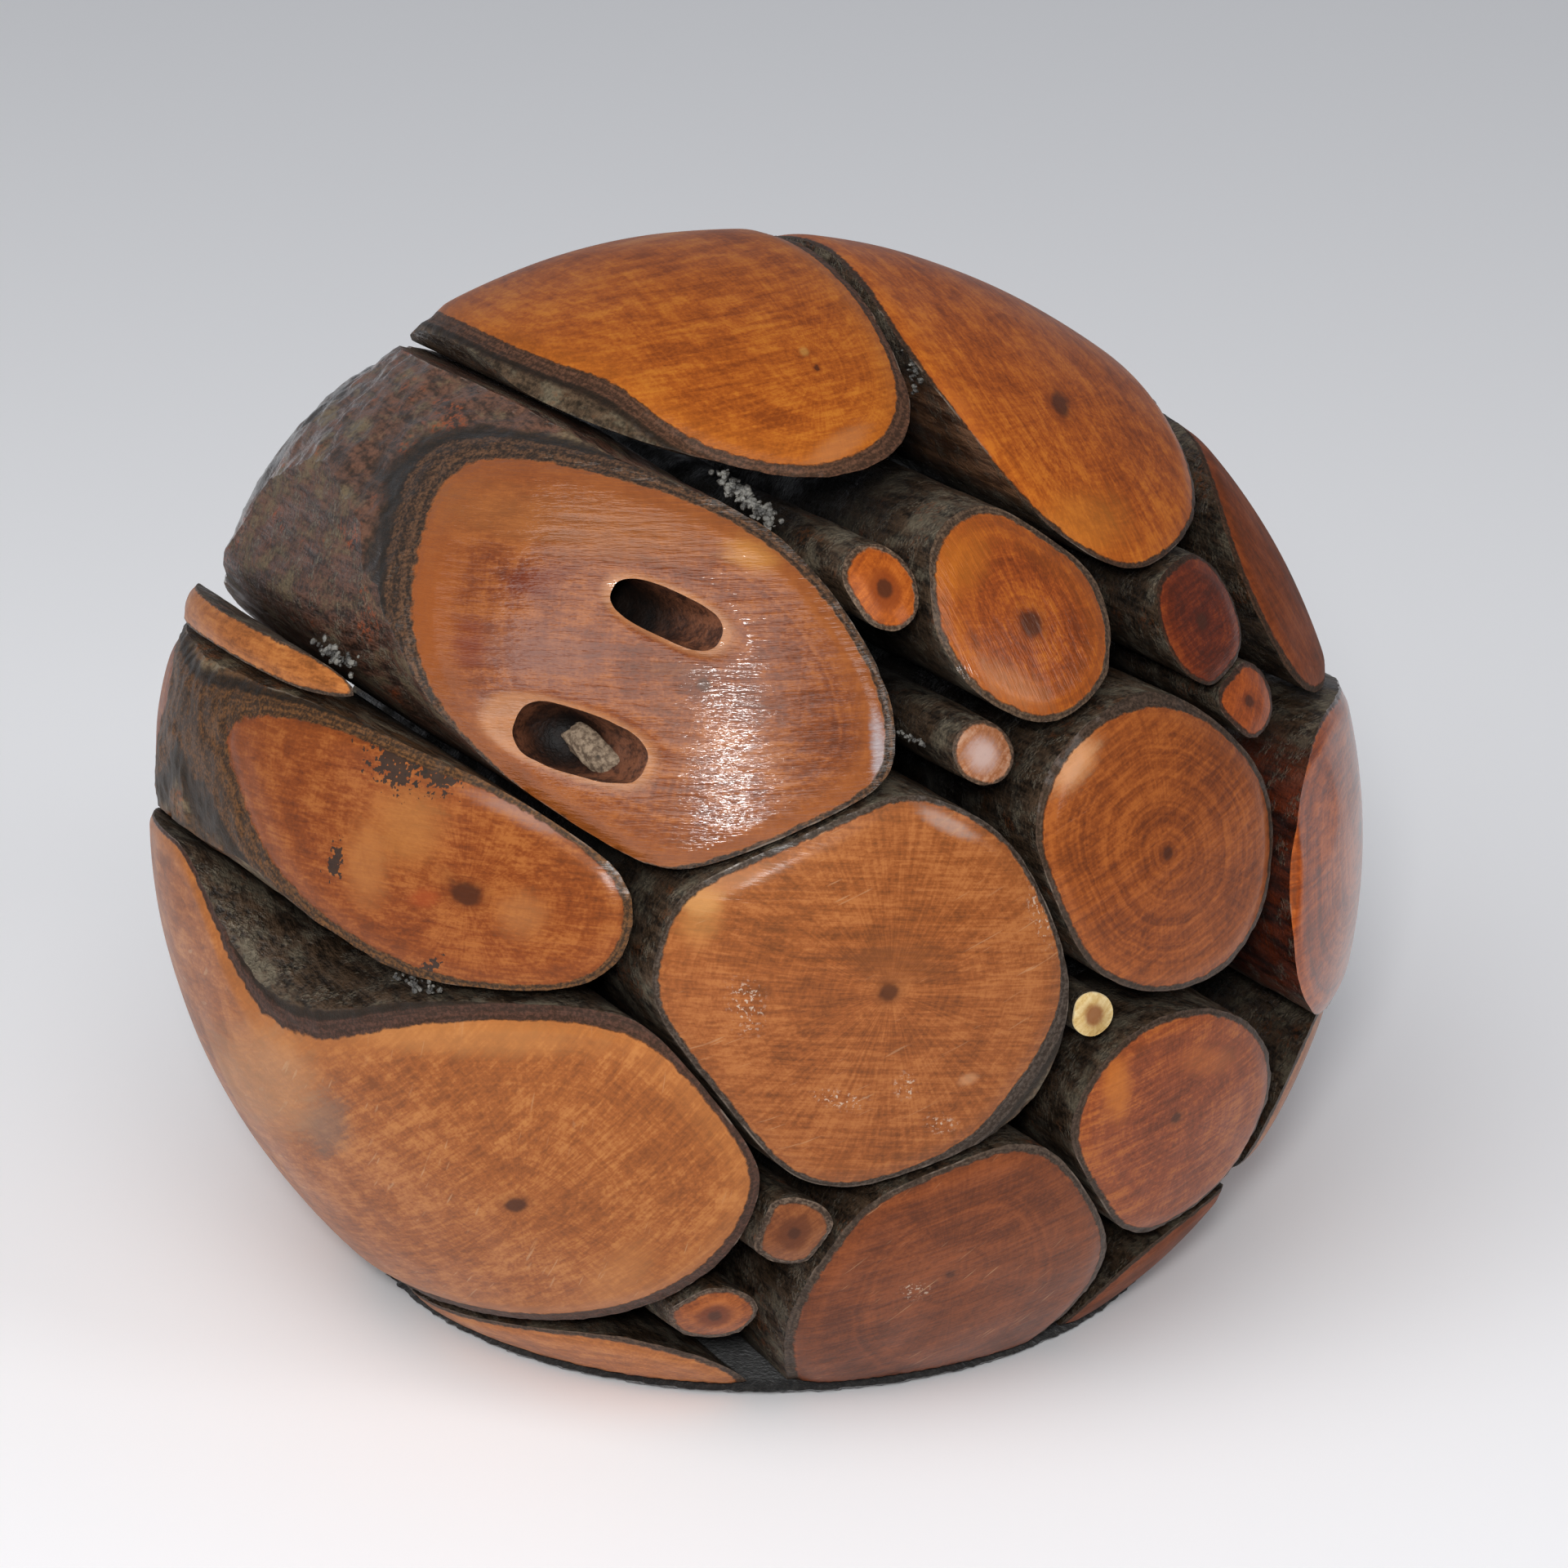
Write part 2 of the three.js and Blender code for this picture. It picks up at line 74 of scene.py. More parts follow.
# Section lengths are hundredths of the ball's half widths, as in the part's source. Bark is how thick
# the bark is in millimetres, thicker where a bump (facing, spread, extra) says so. Pith is where the
# rings start. Tones are the wood's middle, light and dark colour. Rasp is how the rasp ran, in degrees,
# and how deep. Varnish is its share and roughness. Marks, ink and scuffs are places on the cut face;
# most marks are stains, and some are painted sheens and highlights.
BRANCHES = {
    "top_left_branch": dict(
        slot="golden_wood", at=(-19.5, 100.5), oval=(39.5, 25.6), turn=150, hollow=(228, 0.16, 22),
        bark_flares=[(238, 26, 70, 25, 16)], bark=1.0, bark_bumps=[(330, 35, 0.7)], pith=(-1.7, 86.2),
        tones=("#994c11", "#b1671e", "#763407"), bark_tones=("#2f1d15", "#5d3d2d"), rasp=(5, 0.35),
        margin=0.25,
        marks=[
            # a painted sheen on the lower right rim
            ("#a96c40", 0.5, (-3.4, 75.9), (3.2, 0.8), 20),
            ("#bc8f48", 0.4, (-2.3, 88.4), (0.35, 0.25), 21),
        ],
    ),
    "top_right_branch": dict(
        slot="golden_wood", at=(39, 78.5), oval=(32.4, 24.6), turn=131, plane=(204, 19.7), bark=0.7,
        bark_bumps=[(200, 45, -0.7)], pith=(38.3, 75.2), tones=("#96470f", "#b2621b", "#733107"),
        bark_tones=("#241711", "#4b3326"), planed_tones=("#4f3220", "#93684a"), rasp=(103, 0.3),
        margin=0.15, pith_size=0.75,
        marks=[
            ("#a15427", 0.45, (16.8, 76.2), (3.4, 2.2), 112),
            ("#b87127", 0.35, (34.1, 59.5), (4.3, 2.2), 176),
        ],
    ),
    "right_shoulder_branch": dict(
        slot="red_wood", at=(82, 40.5), oval=(23.8, 15.8), turn=113, pith=(85.3, 37.6),
        tones=("#702f0f", "#86421a", "#501f06"), bark_tones=("#241711", "#4b3326"), rasp=(119, 0.3),
        varnish=(0.0, 0.2), dullness=0.6),
    "galleried_branch": dict(
        slot="red_wood", at=(-39, 45), oval=(36.4, 29.7), turn=141, swell=(118, 0.12, 22),
        bark_flares=[(100, 30, 60, 0, 14), (197, 25, 45, 0, 17)], bark=1.3,
        bark_bumps=[(235, 50, -1.4), (130, 35, 1.2)], rolled=(235, 40, 0.9),
        flank_tones=("#2b1c15", "#664434", "#6f6046", "#84401f"), pith=(-34, 44),
        tones=("#733511", "#904f21", "#562108"), bark_tones=("#1c110c", "#60412b"), rasp=(177, 1.6),
        margin=0.6, varnish=(0.85, 0.1), dullness=0.45,
        marks=[
            ("#70453a", 0.5, (-55.3, 49.1), (4.9, 2.0), 178),
            ("#663b31", 0.4, (-58.9, 41.9), (4.1, 1.3), 6),
            ("#934b16", 0.6, (-69.1, 51.9), (6.5, 1.9), 66),
            ("#925728", 0.55, (-45.9, 67.5), (9.5, 2.2), 173),
            # a painted highlight: the warm glow of a lamp seen in the varnish
            ("#bd813d", 0.55, (-22.6, 62.1), (1.9, 1.2), 160),
            ("#5f1b04", 0.7, (-53.2, 59.3), (2.3, 0.9), 16),
            ("#6b2305", 0.6, (-63.8, 50.0), (1.8, 1.0), 67),
            ("#a5a3a8", 0.6, (-10.3, 30.3), (3.5, 0.65), 86),
            ("#4c1d08", 0.5, (-38.4, 46.5), (2.9, 0.7), 173),
        ],
    ),
    "left_branch": dict(
        slot="golden_wood", at=(-71, 14), oval=(24.6, 18.1), turn=155, swell=(128, 0.45, 24),
        bark_flares=[(150, 30, 50, 0, 14)], bark=1.0, bark_bumps=[(128, 30, 1.2)],
        flank_tones=("#2b1e14", "#64462d", "#85765c", "#8a4a1e"), pith=(-70.3, 11.9),
        tones=("#7c3a13", "#985727", "#5e280c"), bark_tones=("#2b1c13", "#6a4526"), rasp=(174, 0.35),
        pith_size=0.7,
        marks=[
            ("#a36833", 0.6, (-76.0, 22.5), (3.0, 2.0), 66),
            ("#a26635", 0.6, (-81.5, 15.4), (3.3, 1.2), 82),
            ("#a3693b", 0.5, (-63.4, 9.3), (1.9, 1.5), 72),
            ("#8e3c16", 0.7, (-75.3, 11.1), (0.9, 0.7), 33),
            # a painted sheen along the upper right edge
            ("#95766c", 0.5, (-60.7, 24.7), (3.5, 0.8), 155),
        ],
        ink=[
            ((-75.9, 31.6), (1.5, 1.3), 70), ((-71.6, 30.6), (1.2, 1.2), 69),
            ((-85.1, 15.2), (1.2, 0.35), 77), ((-75.6, -1.0), (1.1, 0.4), 60),
        ],
    ),
    "lower_left_branch": dict(
        slot="brown_wood", at=(-65.5, -38), oval=(38.3, 34.9), turn=14,
        flares=[(136, 18, 46, -18, 28.2)], spur=[(128, 13, 30, 0, 20)], bark=1.7,
        bark_bumps=[(110, 50, 0.5)], pith=(-63.8, -42.2), tones=("#945224", "#af6f3a", "#753e1b"),
        bark_tones=("#2b1a15", "#50332a"), rasp=(54, 0.3), margin=0.35, pith_size=0.6, scratched=0.5,
        marks=[
            ("#66574d", 0.55, (-86.1, -32.5), (3.3, 1.2), 93),
            ("#b78456", 0.5, (-91.7, -27.7), (6.0, 2.2), 93),
            ("#b27641", 0.45, (-72.5, -11.7), (8.4, 1.6), 1),
            ("#b2743f", 0.4, (-48.8, -55.3), (3.6, 1.8), 72),
        ],
    ),
    "middle_branch": dict(
        slot="brown_wood", at=(-14.5, -7), oval=(35.9, 34.1), turn=116, bark=0.7,
        bark_bumps=[(320, 32, 2.2)], pith=(-12.6, -5.8), tones=("#874820", "#a06032", "#663517"),
        bark_tones=("#231a16", "#4f443d"), rasp=(172, 0.45), rays=0.5, scratched=0.35, pith_size=0.6,
        scuffs=[
            ((-20.6, -23.2), (2.0, 0.8), 162), ((-10.2, -22.1), (1.0, 0.8), 101),
            ((-4.4, -29.6), (1.3, 0.7), 159), ((-34.0, -6.0), (2.2, 1.2), 100),
            ((13.0, 3.0), (2.5, 1.0), 100),
        ],
        marks=[
            # a painted sheen at the top right edge
            ("#b9a79c", 0.35, (-1.4, 19.8), (2.4, 0.6), 147),
            ("#744120", 0.45, (-11.2, -1.2), (3.3, 2.2), 170),
            ("#c4935a", 0.5, (-39.3, 11.1), (1.4, 1.1), 2),
            # a painted highlight: a small light spot
            ("#c39068", 0.45, (-0.3, -22.4), (0.8, 0.5), 4),
            ("#b07850", 0.4, (-34.4, 14.0), (3.1, 0.8), 18),
            ("#b47c43", 0.4, (-39.4, 9.2), (2.5, 1.5), 68),
        ],
    ),
    "right_branch": dict(
        slot="brown_wood", at=(37, 9), oval=(26.7, 24), turn=134, bark_bumps=[(90, 50, 0.5)],
        pith=(36.8, 8.3), tones=("#803d13", "#9a521f", "#5e290c"), rasp=(22, 0.4), ringed=1.7,
        pith_size=0.4, varnish=(0.35, 0.15),
        marks=[
            ("#a79c98", 0.75, (18.4, 27.6), (1.7, 0.5), 46),
            # a painted sheen: whitish streaks of light on the varnish
            ("#ca9364", 0.6, (21.4, 25.7), (2.7, 1.5), 34),
        ],
    ),
    "upper_middle_branch": dict(
        slot="golden_wood", at=(18, 48.5), oval=(17.7, 15.4), turn=124, pith=(19, 47.1),
        tones=("#863b0e", "#a35717", "#612606"), bark_tones=("#2b1e17", "#5e4a3a"), rasp=(105, 1.0),
        margin=0.3, ringed=1.6, pith_size=0.7, varnish=(0.4, 0.15),
        marks=[
            ("#a95e17", 0.5, (9.9, 57.5), (2.8, 1.8), 33),
            ("#b27247", 0.45, (13.1, 38.9), (3.4, 1.4), 147),
        ],
    ),
    "right_edge_branch": dict(
        slot="red_wood", at=(84, -7), oval=(28.7, 22.1), turn=87, proud=1.8, plane=(180, 21.7),
        bark=0.45, bark_bumps=[(180, 75, -0.45)], pith=(88, -4),
        tones=("#85380c", "#a8521a", "#5c220a"), ringed=1.8, bark_tones=("#2a1510", "#4a2a1c"),
        planed_tones=("#2a0f08", "#6a2b12"), rasp=(12, 0.3), dullness=0.38, varnish=(0.6, 0.12),
        facets=[
            ((0.62, -0.76, 0.2), 40.3), ((0.885, -0.41, 0.215), 43.2), ((0.80, -0.33, 0.50), 42.0),
            ((-0.05, -0.96, 0.27), 19.5),
        ],
    ),
    "lower_right_branch": dict(
        slot="brown_wood", at=(41.5, -41), oval=(25.8, 20.7), turn=136, pith=(39.2, -38.5),
        tones=("#813a19", "#a45a25", "#5e270d"), rasp=(12, 0.3),
        marks=[
            ("#bd6c23", 0.55, (26.4, -29.7), (2.6, 1.2), 100),
            ("#b4632a", 0.35, (45.0, -29.6), (3.4, 1.2), 160),
        ],
    ),
    "bottom_branch": dict(
        slot="brown_wood", at=(4.5, -66), oval=(32.9, 28.2), turn=105, bark=1.0, pith=(1.2, -59.7),
        tones=("#6c3213", "#83421d", "#50210b"), bark_tones=("#261b16", "#54453a"), rasp=(16, 0.35),
        scratched=0.5, scuffs=[((-4.4, -62.1), (1.4, 0.9), 154)],
        marks=[("#8e4e25", 0.4, (-20.0, -44.8), (3.2, 1.7), 87)]),
    "bottom_right_branch": dict(
        slot="brown_wood", at=(49.5,), over_base=-7.2, oval=(22.3, 16), turn=43, pith=(46.5, -78.9),
        tones=("#6b3013", "#854422", "#50200b"), rasp=(16, 0.3), varnish=(0.0, 0.2), dullness=0.6),
    "right_low_edge_branch": dict(
        slot="brown_wood", at=(80.5, -49), oval=(21.3, 12.8), turn=62, pith=(77.4, -48.2),
        tones=("#8c4f28", "#a86c3e", "#683518"), rasp=(60, 0.3)),
    "bottom_left_branch": dict(
        slot="brown_wood", at=(-45,), over_base=-12.9, oval=(26.6, 15.5), turn=162, pith=(-40, -84),
        tones=("#a45e2a", "#be7a3e", "#7f461f"), bark_tones=("#2b1f19", "#5e4a3c"), rasp=(170, 0.3)),
    "dark_twig": dict(
        slot="red_wood", at=(52.5, 41), oval=(10.9, 9.3), turn=114, bark=0.4, pith=(52, 41),
        tones=("#5b1d08", "#7a3410", "#3d0f04"), ringed=1.6, bark_tones=("#1c0f0a", "#40261b"),
        rasp=(14, 0.8), varnish=(0.25, 0.14)),
    "dark_twig_neighbour": dict(
        slot="red_wood", at=(59, 27), oval=(7.4, 6.2), turn=154, bark=0.5, pith=(59, 27),
        tones=("#8a3d14", "#a6511c", "#63270a"), bark_tones=("#241510", "#4b3026"), rasp=(50, 0.3)),
    "upper_twig": dict(
        slot="golden_wood", at=(-4, 55.5), oval=(6.9, 6.3), turn=108, bark=0.55, pith=(-4, 55.5),
        tones=("#9a480f", "#b35e1f", "#763009"), bark_tones=("#2f211a", "#75604f"), heart_size=1.4),
    "pale_ringed_twig": dict(
        slot="golden_wood", at=(6.5, 29.5), oval=(5.8, 5.5), turn=148, bark=0.5, pith=(6.5, 29.5),
        tones=("#8b522f", "#a67d64", "#6d3a1c"), bark_tones=("#2f211a", "#5e4a3c"), pith_size=0.05,
        marks=[("#ab9189", 0.85, (6.0, 29.4), (1.25, 1.2), 30)]),
    "peeled_twig": dict(
        slot="peeled_wood", at=(23, -16.5), oval=(4.4, 3.8), turn=138, proud=-3.5, bark=0.0,
        pith=(23, -16.5), tones=("#d3b272", "#e8d3a0", "#a3783c"), bark_tones=("#c0a068", "#dcc490"),
        pith_size=0.75, pith_tone="#7a3f1c"),
    "lower_twig": dict(
        slot="golden_wood", at=(-25.5, -47.5), oval=(7.6, 6.5), turn=120, bark=0.65,
        pith=(-25.5, -47.5), tones=("#763e1d", "#8b532c", "#562710"),
        bark_tones=("#2b1f19", "#6a584a"), heart_size=1.5),
    "bottom_twig": dict(
        slot="golden_wood", at=(-34, -64.5), oval=(7, 6.4), turn=148, bark=0.6, pith=(-34, -64.5),
        tones=("#8c471a", "#a65c29", "#60260b"), bark_tones=("#2b1f19", "#6a584a"), heart_size=1.3),
    "sliver_twig": dict(
        slot="golden_wood", at=(-86, 44.5), oval=(8.3, 3.3), turn=155, bark=0.3, pith=(-86, 44.5),
        tones=("#a05c2a", "#b5743a", "#743e18"), bark_tones=("#2b1f19", "#5e4a3c"), rasp=(0, 0.3),
        pith_size=0.0),
}
PLAIN_BRANCH = dict(
    proud=0, bark=0.8, bark_bumps=(), flares=(), bark_flares=(), spur=(), facets=(),
    bark_tones=("#241913", "#4b3a30"), flank_tones=("#1d1610", "#544232", "#6b6250", "#62391f"),
    planed_tones=("#38200f", "#6d4426"), rasp=(40, 0.3), ringed=1.0, rays=0.0, margin=0.1,
    pith_size=0.45, pith_tone="#3a170a", heart_size=0.0, scratched=0.0, varnish=(0.2, 0.2),
    dullness=0.48, marks=(), ink=(), scuffs=(),
)
BRANCHES = {name: PLAIN_BRANCH | facts for name, facts in BRANCHES.items()}

# Beetle galleries: mouth, bore and depth in hundredths, slant from square to the surface, way it leans
GALLERIES = [
    dict(at=(-35.7, 54), bore=(9.6, 7.6), slant=60, facing=140, depth=35),
    dict(at=(-52.5, 35.8), bore=(13.1, 9.6), slant=60, facing=153, depth=13),
]


# Shapes in the section plane, as in the part's source

def wrap(angle):
    return (angle + np.pi) % (2 * np.pi) - np.pi


def bump(angle, facing, spread):
    """One where it faces, falling off over its spread in degrees."""
    return np.exp(-((wrap(angle - math.radians(facing)) / math.radians(spread)) ** 2))


def place_of(branch):
    if "over_base" in branch:
        base = (WOOD_BOTTOM - BALL_CENTRE[2]) / UPWARD
        return np.array([branch["at"][0], base + branch["over_base"]])
    return np.array(branch["at"], float)


def oval_reach(branch, angle):
    a, b = branch["oval"]
    turned = angle - math.radians(branch["turn"])
    return a * b / np.hypot(b * np.cos(turned), a * np.sin(turned))


def oval_normal(branch, angle):
    a, b = branch["oval"]
    turn = math.radians(branch["turn"])
    x, y = math.cos(angle - turn) / a**2, math.sin(angle - turn) / b**2
    cos, sin = math.cos(turn), math.sin(turn)
    normal = np.array([x * cos - y * sin, x * sin + y * cos])
    return normal / np.linalg.norm(normal)


def free_reach(branch, angle, distance=THROUGH, wood=False):
    """How far the bark reaches from the branch's middle, before bedding."""
    share = np.ones_like(angle, dtype=float)
    if "swell" in branch:
        facing, more, spread = branch["swell"]
        share = share + more * bump(angle, facing, spread)
    if "hollow" in branch:
        facing, less, spread = branch["hollow"]
        share = share - less * bump(angle, facing, spread)
    reach = oval_reach(branch, angle) * share
    reach = reach + flare_of(branch["flares"], angle, distance)
    return reach if wood else reach + flare_of(branch["bark_flares"], angle, distance)


def flare_of(flares, angle, distance):
    """How much a branch has widened on its way to the back."""
    total = np.zeros_like(angle, dtype=float)
    for facing, spread, start, end, rise in flares:
        way = np.clip((start - distance) / (start - end), 0, 1)
        total = total + rise * (1 - np.cos(np.pi * way)) / 2 * bump(angle, facing, spread)
    return total


def planes_of(branch):
    """Bedding planes shared with all other branches, and the planed one."""
    planes = []
    here = place_of(branch)
    for other in BRANCHES.values():
        if other is branch:
            continue
        to = place_of(other) - here
        apart = np.linalg.norm(to)
        angle = math.atan2(to[1], to[0])
        mine, its = free_reach(branch, np.array(angle)), free_reach(other, np.array(angle + math.pi))
        normal = oval_normal(branch, angle) - oval_normal(other, angle + math.pi)
        normal /= np.linalg.norm(normal)
        out = (apart + mine - its) / 2 * (normal @ to) / apart - BEDDING_GAP / 2 / SIDEWAYS
        planes.append((normal, float(out)))
    if "plane" in branch:
        facing, out = math.radians(branch["plane"][0]), branch["plane"][1]
        planes.append((np.array([math.cos(facing), math.sin(facing)]), out))
    return planes


def bark_thickness(branch, angle):
    """Bark thickness in hundredths of the ball's half width, never less than a skin."""
    thick = np.full_like(angle, branch["bark"], dtype=float)
    for facing, spread, extra in branch["bark_bumps"]:
        thick = thick + extra * bump(angle, facing, spread)
    return np.maximum(thick, 0) / SIDEWAYS


def reach_of(branch, angle, distance=THROUGH, wood=False):
    """Where the bark ends, or the wood under it, and how free that place is of its neighbours."""
    free = free_reach(branch, angle, distance, wood)
    rest = 0
    if wood:
        thick = bark_thickness(branch, angle)
        free = np.maximum(free - thick, LEAST_REACH)
        rest = np.minimum(thick, WOOD_REST / SIDEWAYS)
    total = free ** -CORNER_SHARPNESS
    own = total.copy()
    for normal, out in planes_of(branch):
        facing = normal[0] * np.cos(angle) + normal[1] * np.sin(angle)
        near = facing > LEAST_FACING
        edge = np.maximum(out - rest, LEAST_OUT) / np.where(near, facing, 1)
        total = total + np.where(near, edge ** -CORNER_SHARPNESS, 0)
    reach = total ** (-1 / CORNER_SHARPNESS)
    return reach + flare_of(branch["spur"], angle, distance), own / total


def to_part(u, w, distance):
    """Section place in hundredths to the part's millimetres."""
    flat = np.multiply.outer(u * SIDEWAYS, ACROSS) + np.multiply.outer(w * UPWARD, UP)
    return BALL_CENTRE + flat + np.multiply.outer(distance * SIDEWAYS, ALONG)


def to_section(points):
    """The part's millimetres to a section place and distance along the bundle, in hundredths."""
    local = points - BALL_CENTRE
    return local @ ACROSS / SIDEWAYS, local @ UP / UPWARD, local @ ALONG / SIDEWAYS


def round_middle(branch, u, w):
    """The angle and how far away section places are, seen from the branch's middle."""
    x, y = u - place_of(branch)[0], w - place_of(branch)[1]
    return np.arctan2(y, x), np.hypot(x, y)


# Noise for grown and weathered surfaces

HASH_STEPS, HASH_MIXERS = (73856093, 19349663, 83492791), (1274126177, 2246822519)
HASH_SEED_STEP, NOISE_ORIGIN = 40503, 1000.0


def lattice_noise(points, cell, seed):
    """Smooth noise from -1 to 1 in lumps about as wide as a cell, the same at each run."""
    scaled = points / cell + NOISE_ORIGIN
    base = np.floor(scaled).astype(np.int64)
    part = scaled - base
    part = part * part * (3 - 2 * part)
    total = np.zeros(len(points))
    for corner in range(8):
        step = np.array([(corner >> k) & 1 for k in range(3)])
        x, y, z = (base + step).T * np.array(HASH_STEPS)[:, None]
        code = x ^ y ^ z ^ (seed * HASH_SEED_STEP)
        for shift, mixer in zip((13, 15), HASH_MIXERS):
            code = (code ^ (code >> shift)) * mixer & 0x7FFFFFFF
        value = ((code >> 7) & 0xFFFF) / 32767.5 - 1
        total += value * np.prod(np.where(step == 1, part, 1 - part), axis=1)
    return total


def layered_noise(points, cell, seed, layers=3):
    return sum(lattice_noise(points, cell / 2**k, seed + k) / 2**k for k in range(layers)) / 1.6


# Meshes

def mesh_from(name, points, faces):
    """A mesh from points in millimetres and triangles or quads as one array."""
    mesh = bpy.data.meshes.new(name)
    sides = faces.shape[1]
    mesh.vertices.add(len(points))
    mesh.vertices.foreach_set("co", (points * MM).astype(np.float32).ravel())
    mesh.loops.add(faces.size)
    mesh.loops.foreach_set("vertex_index", faces.astype(np.int32).ravel())
    mesh.polygons.add(len(faces))
    mesh.polygons.foreach_set("loop_start", np.arange(0, faces.size, sides, dtype=np.int32))
    mesh.update(calc_edges=True)
    mesh.validate()
    return mesh


def tube_faces(rings, sides):
    """Triangles of a closed tube: its points go ring by ring, then come the middles of its ends."""
    ring = np.arange(sides)
    following = (ring + 1) % sides
    rows = np.arange(rings - 1)[:, None] * sides
    quads = [rows + ring, rows + following, rows + sides + following, rows + sides + ring]
    quads = np.stack(quads, axis=2).reshape(-1, 4)
    top, first, last = (rings - 1) * sides, rings * sides, rings * sides + 1
    return np.concatenate([
        quads[:, [0, 1, 2]], quads[:, [0, 2, 3]],
        np.stack([following, ring, np.full(sides, first)], axis=1),
        np.stack([top + ring, top + following, np.full(sides, last)], axis=1),
    ])


def object_from(name, mesh):
    obj = bpy.data.objects.new(name, mesh)
    bpy.context.scene.collection.objects.link(obj)
    return obj


def unit_ball(subdivisions):
    """Points and triangles of a geodesic ball."""
    bpy.ops.mesh.primitive_ico_sphere_add(subdivisions=subdivisions, radius=1)
    obj = bpy.context.object
    points = np.zeros(len(obj.data.vertices) * 3)
    obj.data.vertices.foreach_get("co", points)
    corners = np.zeros(len(obj.data.polygons) * 3, np.int32)
    obj.data.loops.foreach_get("vertex_index", corners)
    bpy.data.meshes.remove(obj.data)
    return points.reshape(-1, 3), corners.reshape(-1, 3)


UNIT_POINTS, BALL_TRIANGLES = unit_ball(BALL_SUBDIVISIONS)
LUMP_POINTS, LUMP_TRIANGLES = unit_ball(4)
CRUMB_POINTS, CRUMB_TRIANGLES = unit_ball(3)
TIP = np.array([
    [math.cos(BALL_TIP), 0, math.sin(BALL_TIP)],
    [0, 1, 0],
    [-math.sin(BALL_TIP), 0, math.cos(BALL_TIP)],
])
BALL_HALVES = np.array([BALL_LONG, BALL_DEEP, BALL_SHORT]) / 2
TO_UNIT_BALL = np.diag(1 / BALL_HALVES) @ TIP.T
BALL_LOCAL = (UNIT_POINTS * BALL_HALVES) @ TIP.T
BALL_NORMALS = (UNIT_POINTS / BALL_HALVES) @ TIP.T
BALL_NORMALS /= np.linalg.norm(BALL_NORMALS, axis=1)[:, None]


# How the cut wore, in millimetres: rims and mouths rolled off, bark worn down beside the wood
RIM_ROLL, RIM_WIDE, ROLLED_WIDE = 0.22, 0.6, 0.9
MOUTH_ROLL, MOUTH_WIDE, MOUTH_REACH = 0.3, 0.35, 14
BARK_WORN, WORN_WITHIN = 0.16, 0.35
GROWN_FROM, GROWN_WITHIN, GROWN_DEPTH, GROWN_LUMPS = 1.2, 2.0, 0.7, 0.6
CUT_WAVES, CUT_DEPTH = 0.1, 0.05


def cut_ball(branch, seed):
    """The turned and rasped ball as it cuts one branch: rims rolled off, bark worn lower than wood."""
    points = BALL_LOCAL * (1 + branch["proud"] / 100) + BALL_CENTRE
    u, w, distance = to_section(points)
    angle, away = round_middle(branch, u, w)
    near = np.flatnonzero(away < max(branch["oval"]) * 1.6 + 6)
    wood = reach_of(branch, angle[near], distance[near], wood=True)[0]
    edge = (wood - away[near]) * SIDEWAYS
    waves = layered_noise(points[near], 9.0, seed, 2)
    crumbs = layered_noise(points[near], 0.9, seed + 9, 2)
    rim = RIM_ROLL * np.exp(-(np.maximum(edge, 0) / RIM_WIDE) ** 2)
    worn = np.clip(-edge / WORN_WITHIN, 0, 1) * BARK_WORN * (1 + crumbs) * (branch["bark"] > 0)
    lumps = layered_noise(points[near], 4.0, seed + 60)
    grown = np.clip((-edge - GROWN_FROM) / GROWN_WITHIN, 0, 1) * (GROWN_DEPTH + GROWN_LUMPS * lumps)
    depth = rim + worn + grown + CUT_WAVES * waves + CUT_DEPTH
    if "rolled" in branch:
        facing, spread, more = branch["rolled"]
        rolled = np.exp(-np.maximum(edge, 0) / ROLLED_WIDE)
        depth = depth + more * bump(angle[near], facing, spread) * rolled
    if branch is BRANCHES["galleried_branch"]:
        for gallery in GALLERIES:
            depth = depth + mouth_roll(gallery, points[near])
    points[near] -= BALL_NORMALS[near] * depth[:, None]
    for normal, out in branch["facets"]:
        normal = np.array(normal) / np.linalg.norm(normal)
        over = np.maximum((points - BALL_CENTRE) @ normal - out, 0)
        points -= over[:, None] * normal
    low = points[:, 2] < WOOD_BOTTOM
    share = (BALL_CENTRE[2] - WOOD_BOTTOM) / (BALL_CENTRE[2] - points[low, 2])
    points[low] = BALL_CENTRE + (points[low] - BALL_CENTRE) * share[:, None]
    return points


# Bark relief: cells and depths in mm, how the ridges stretch, and how far it may stand out
LUMP_CELL, RIDGE_CELL, FLAKE_CELL, RIDGE_STRETCH = 6.0, 1.5, 1.6, 0.16
BARK_DEPTH, LUMP_DEPTH, RIDGE_DEPTH, FLAKE_DEPTH = 0.28, 0.2, 0.22, 0.1
LEAST_ROUGH, MOST_OUT, LEAST_SIDES = 0.25, 0.1, 40


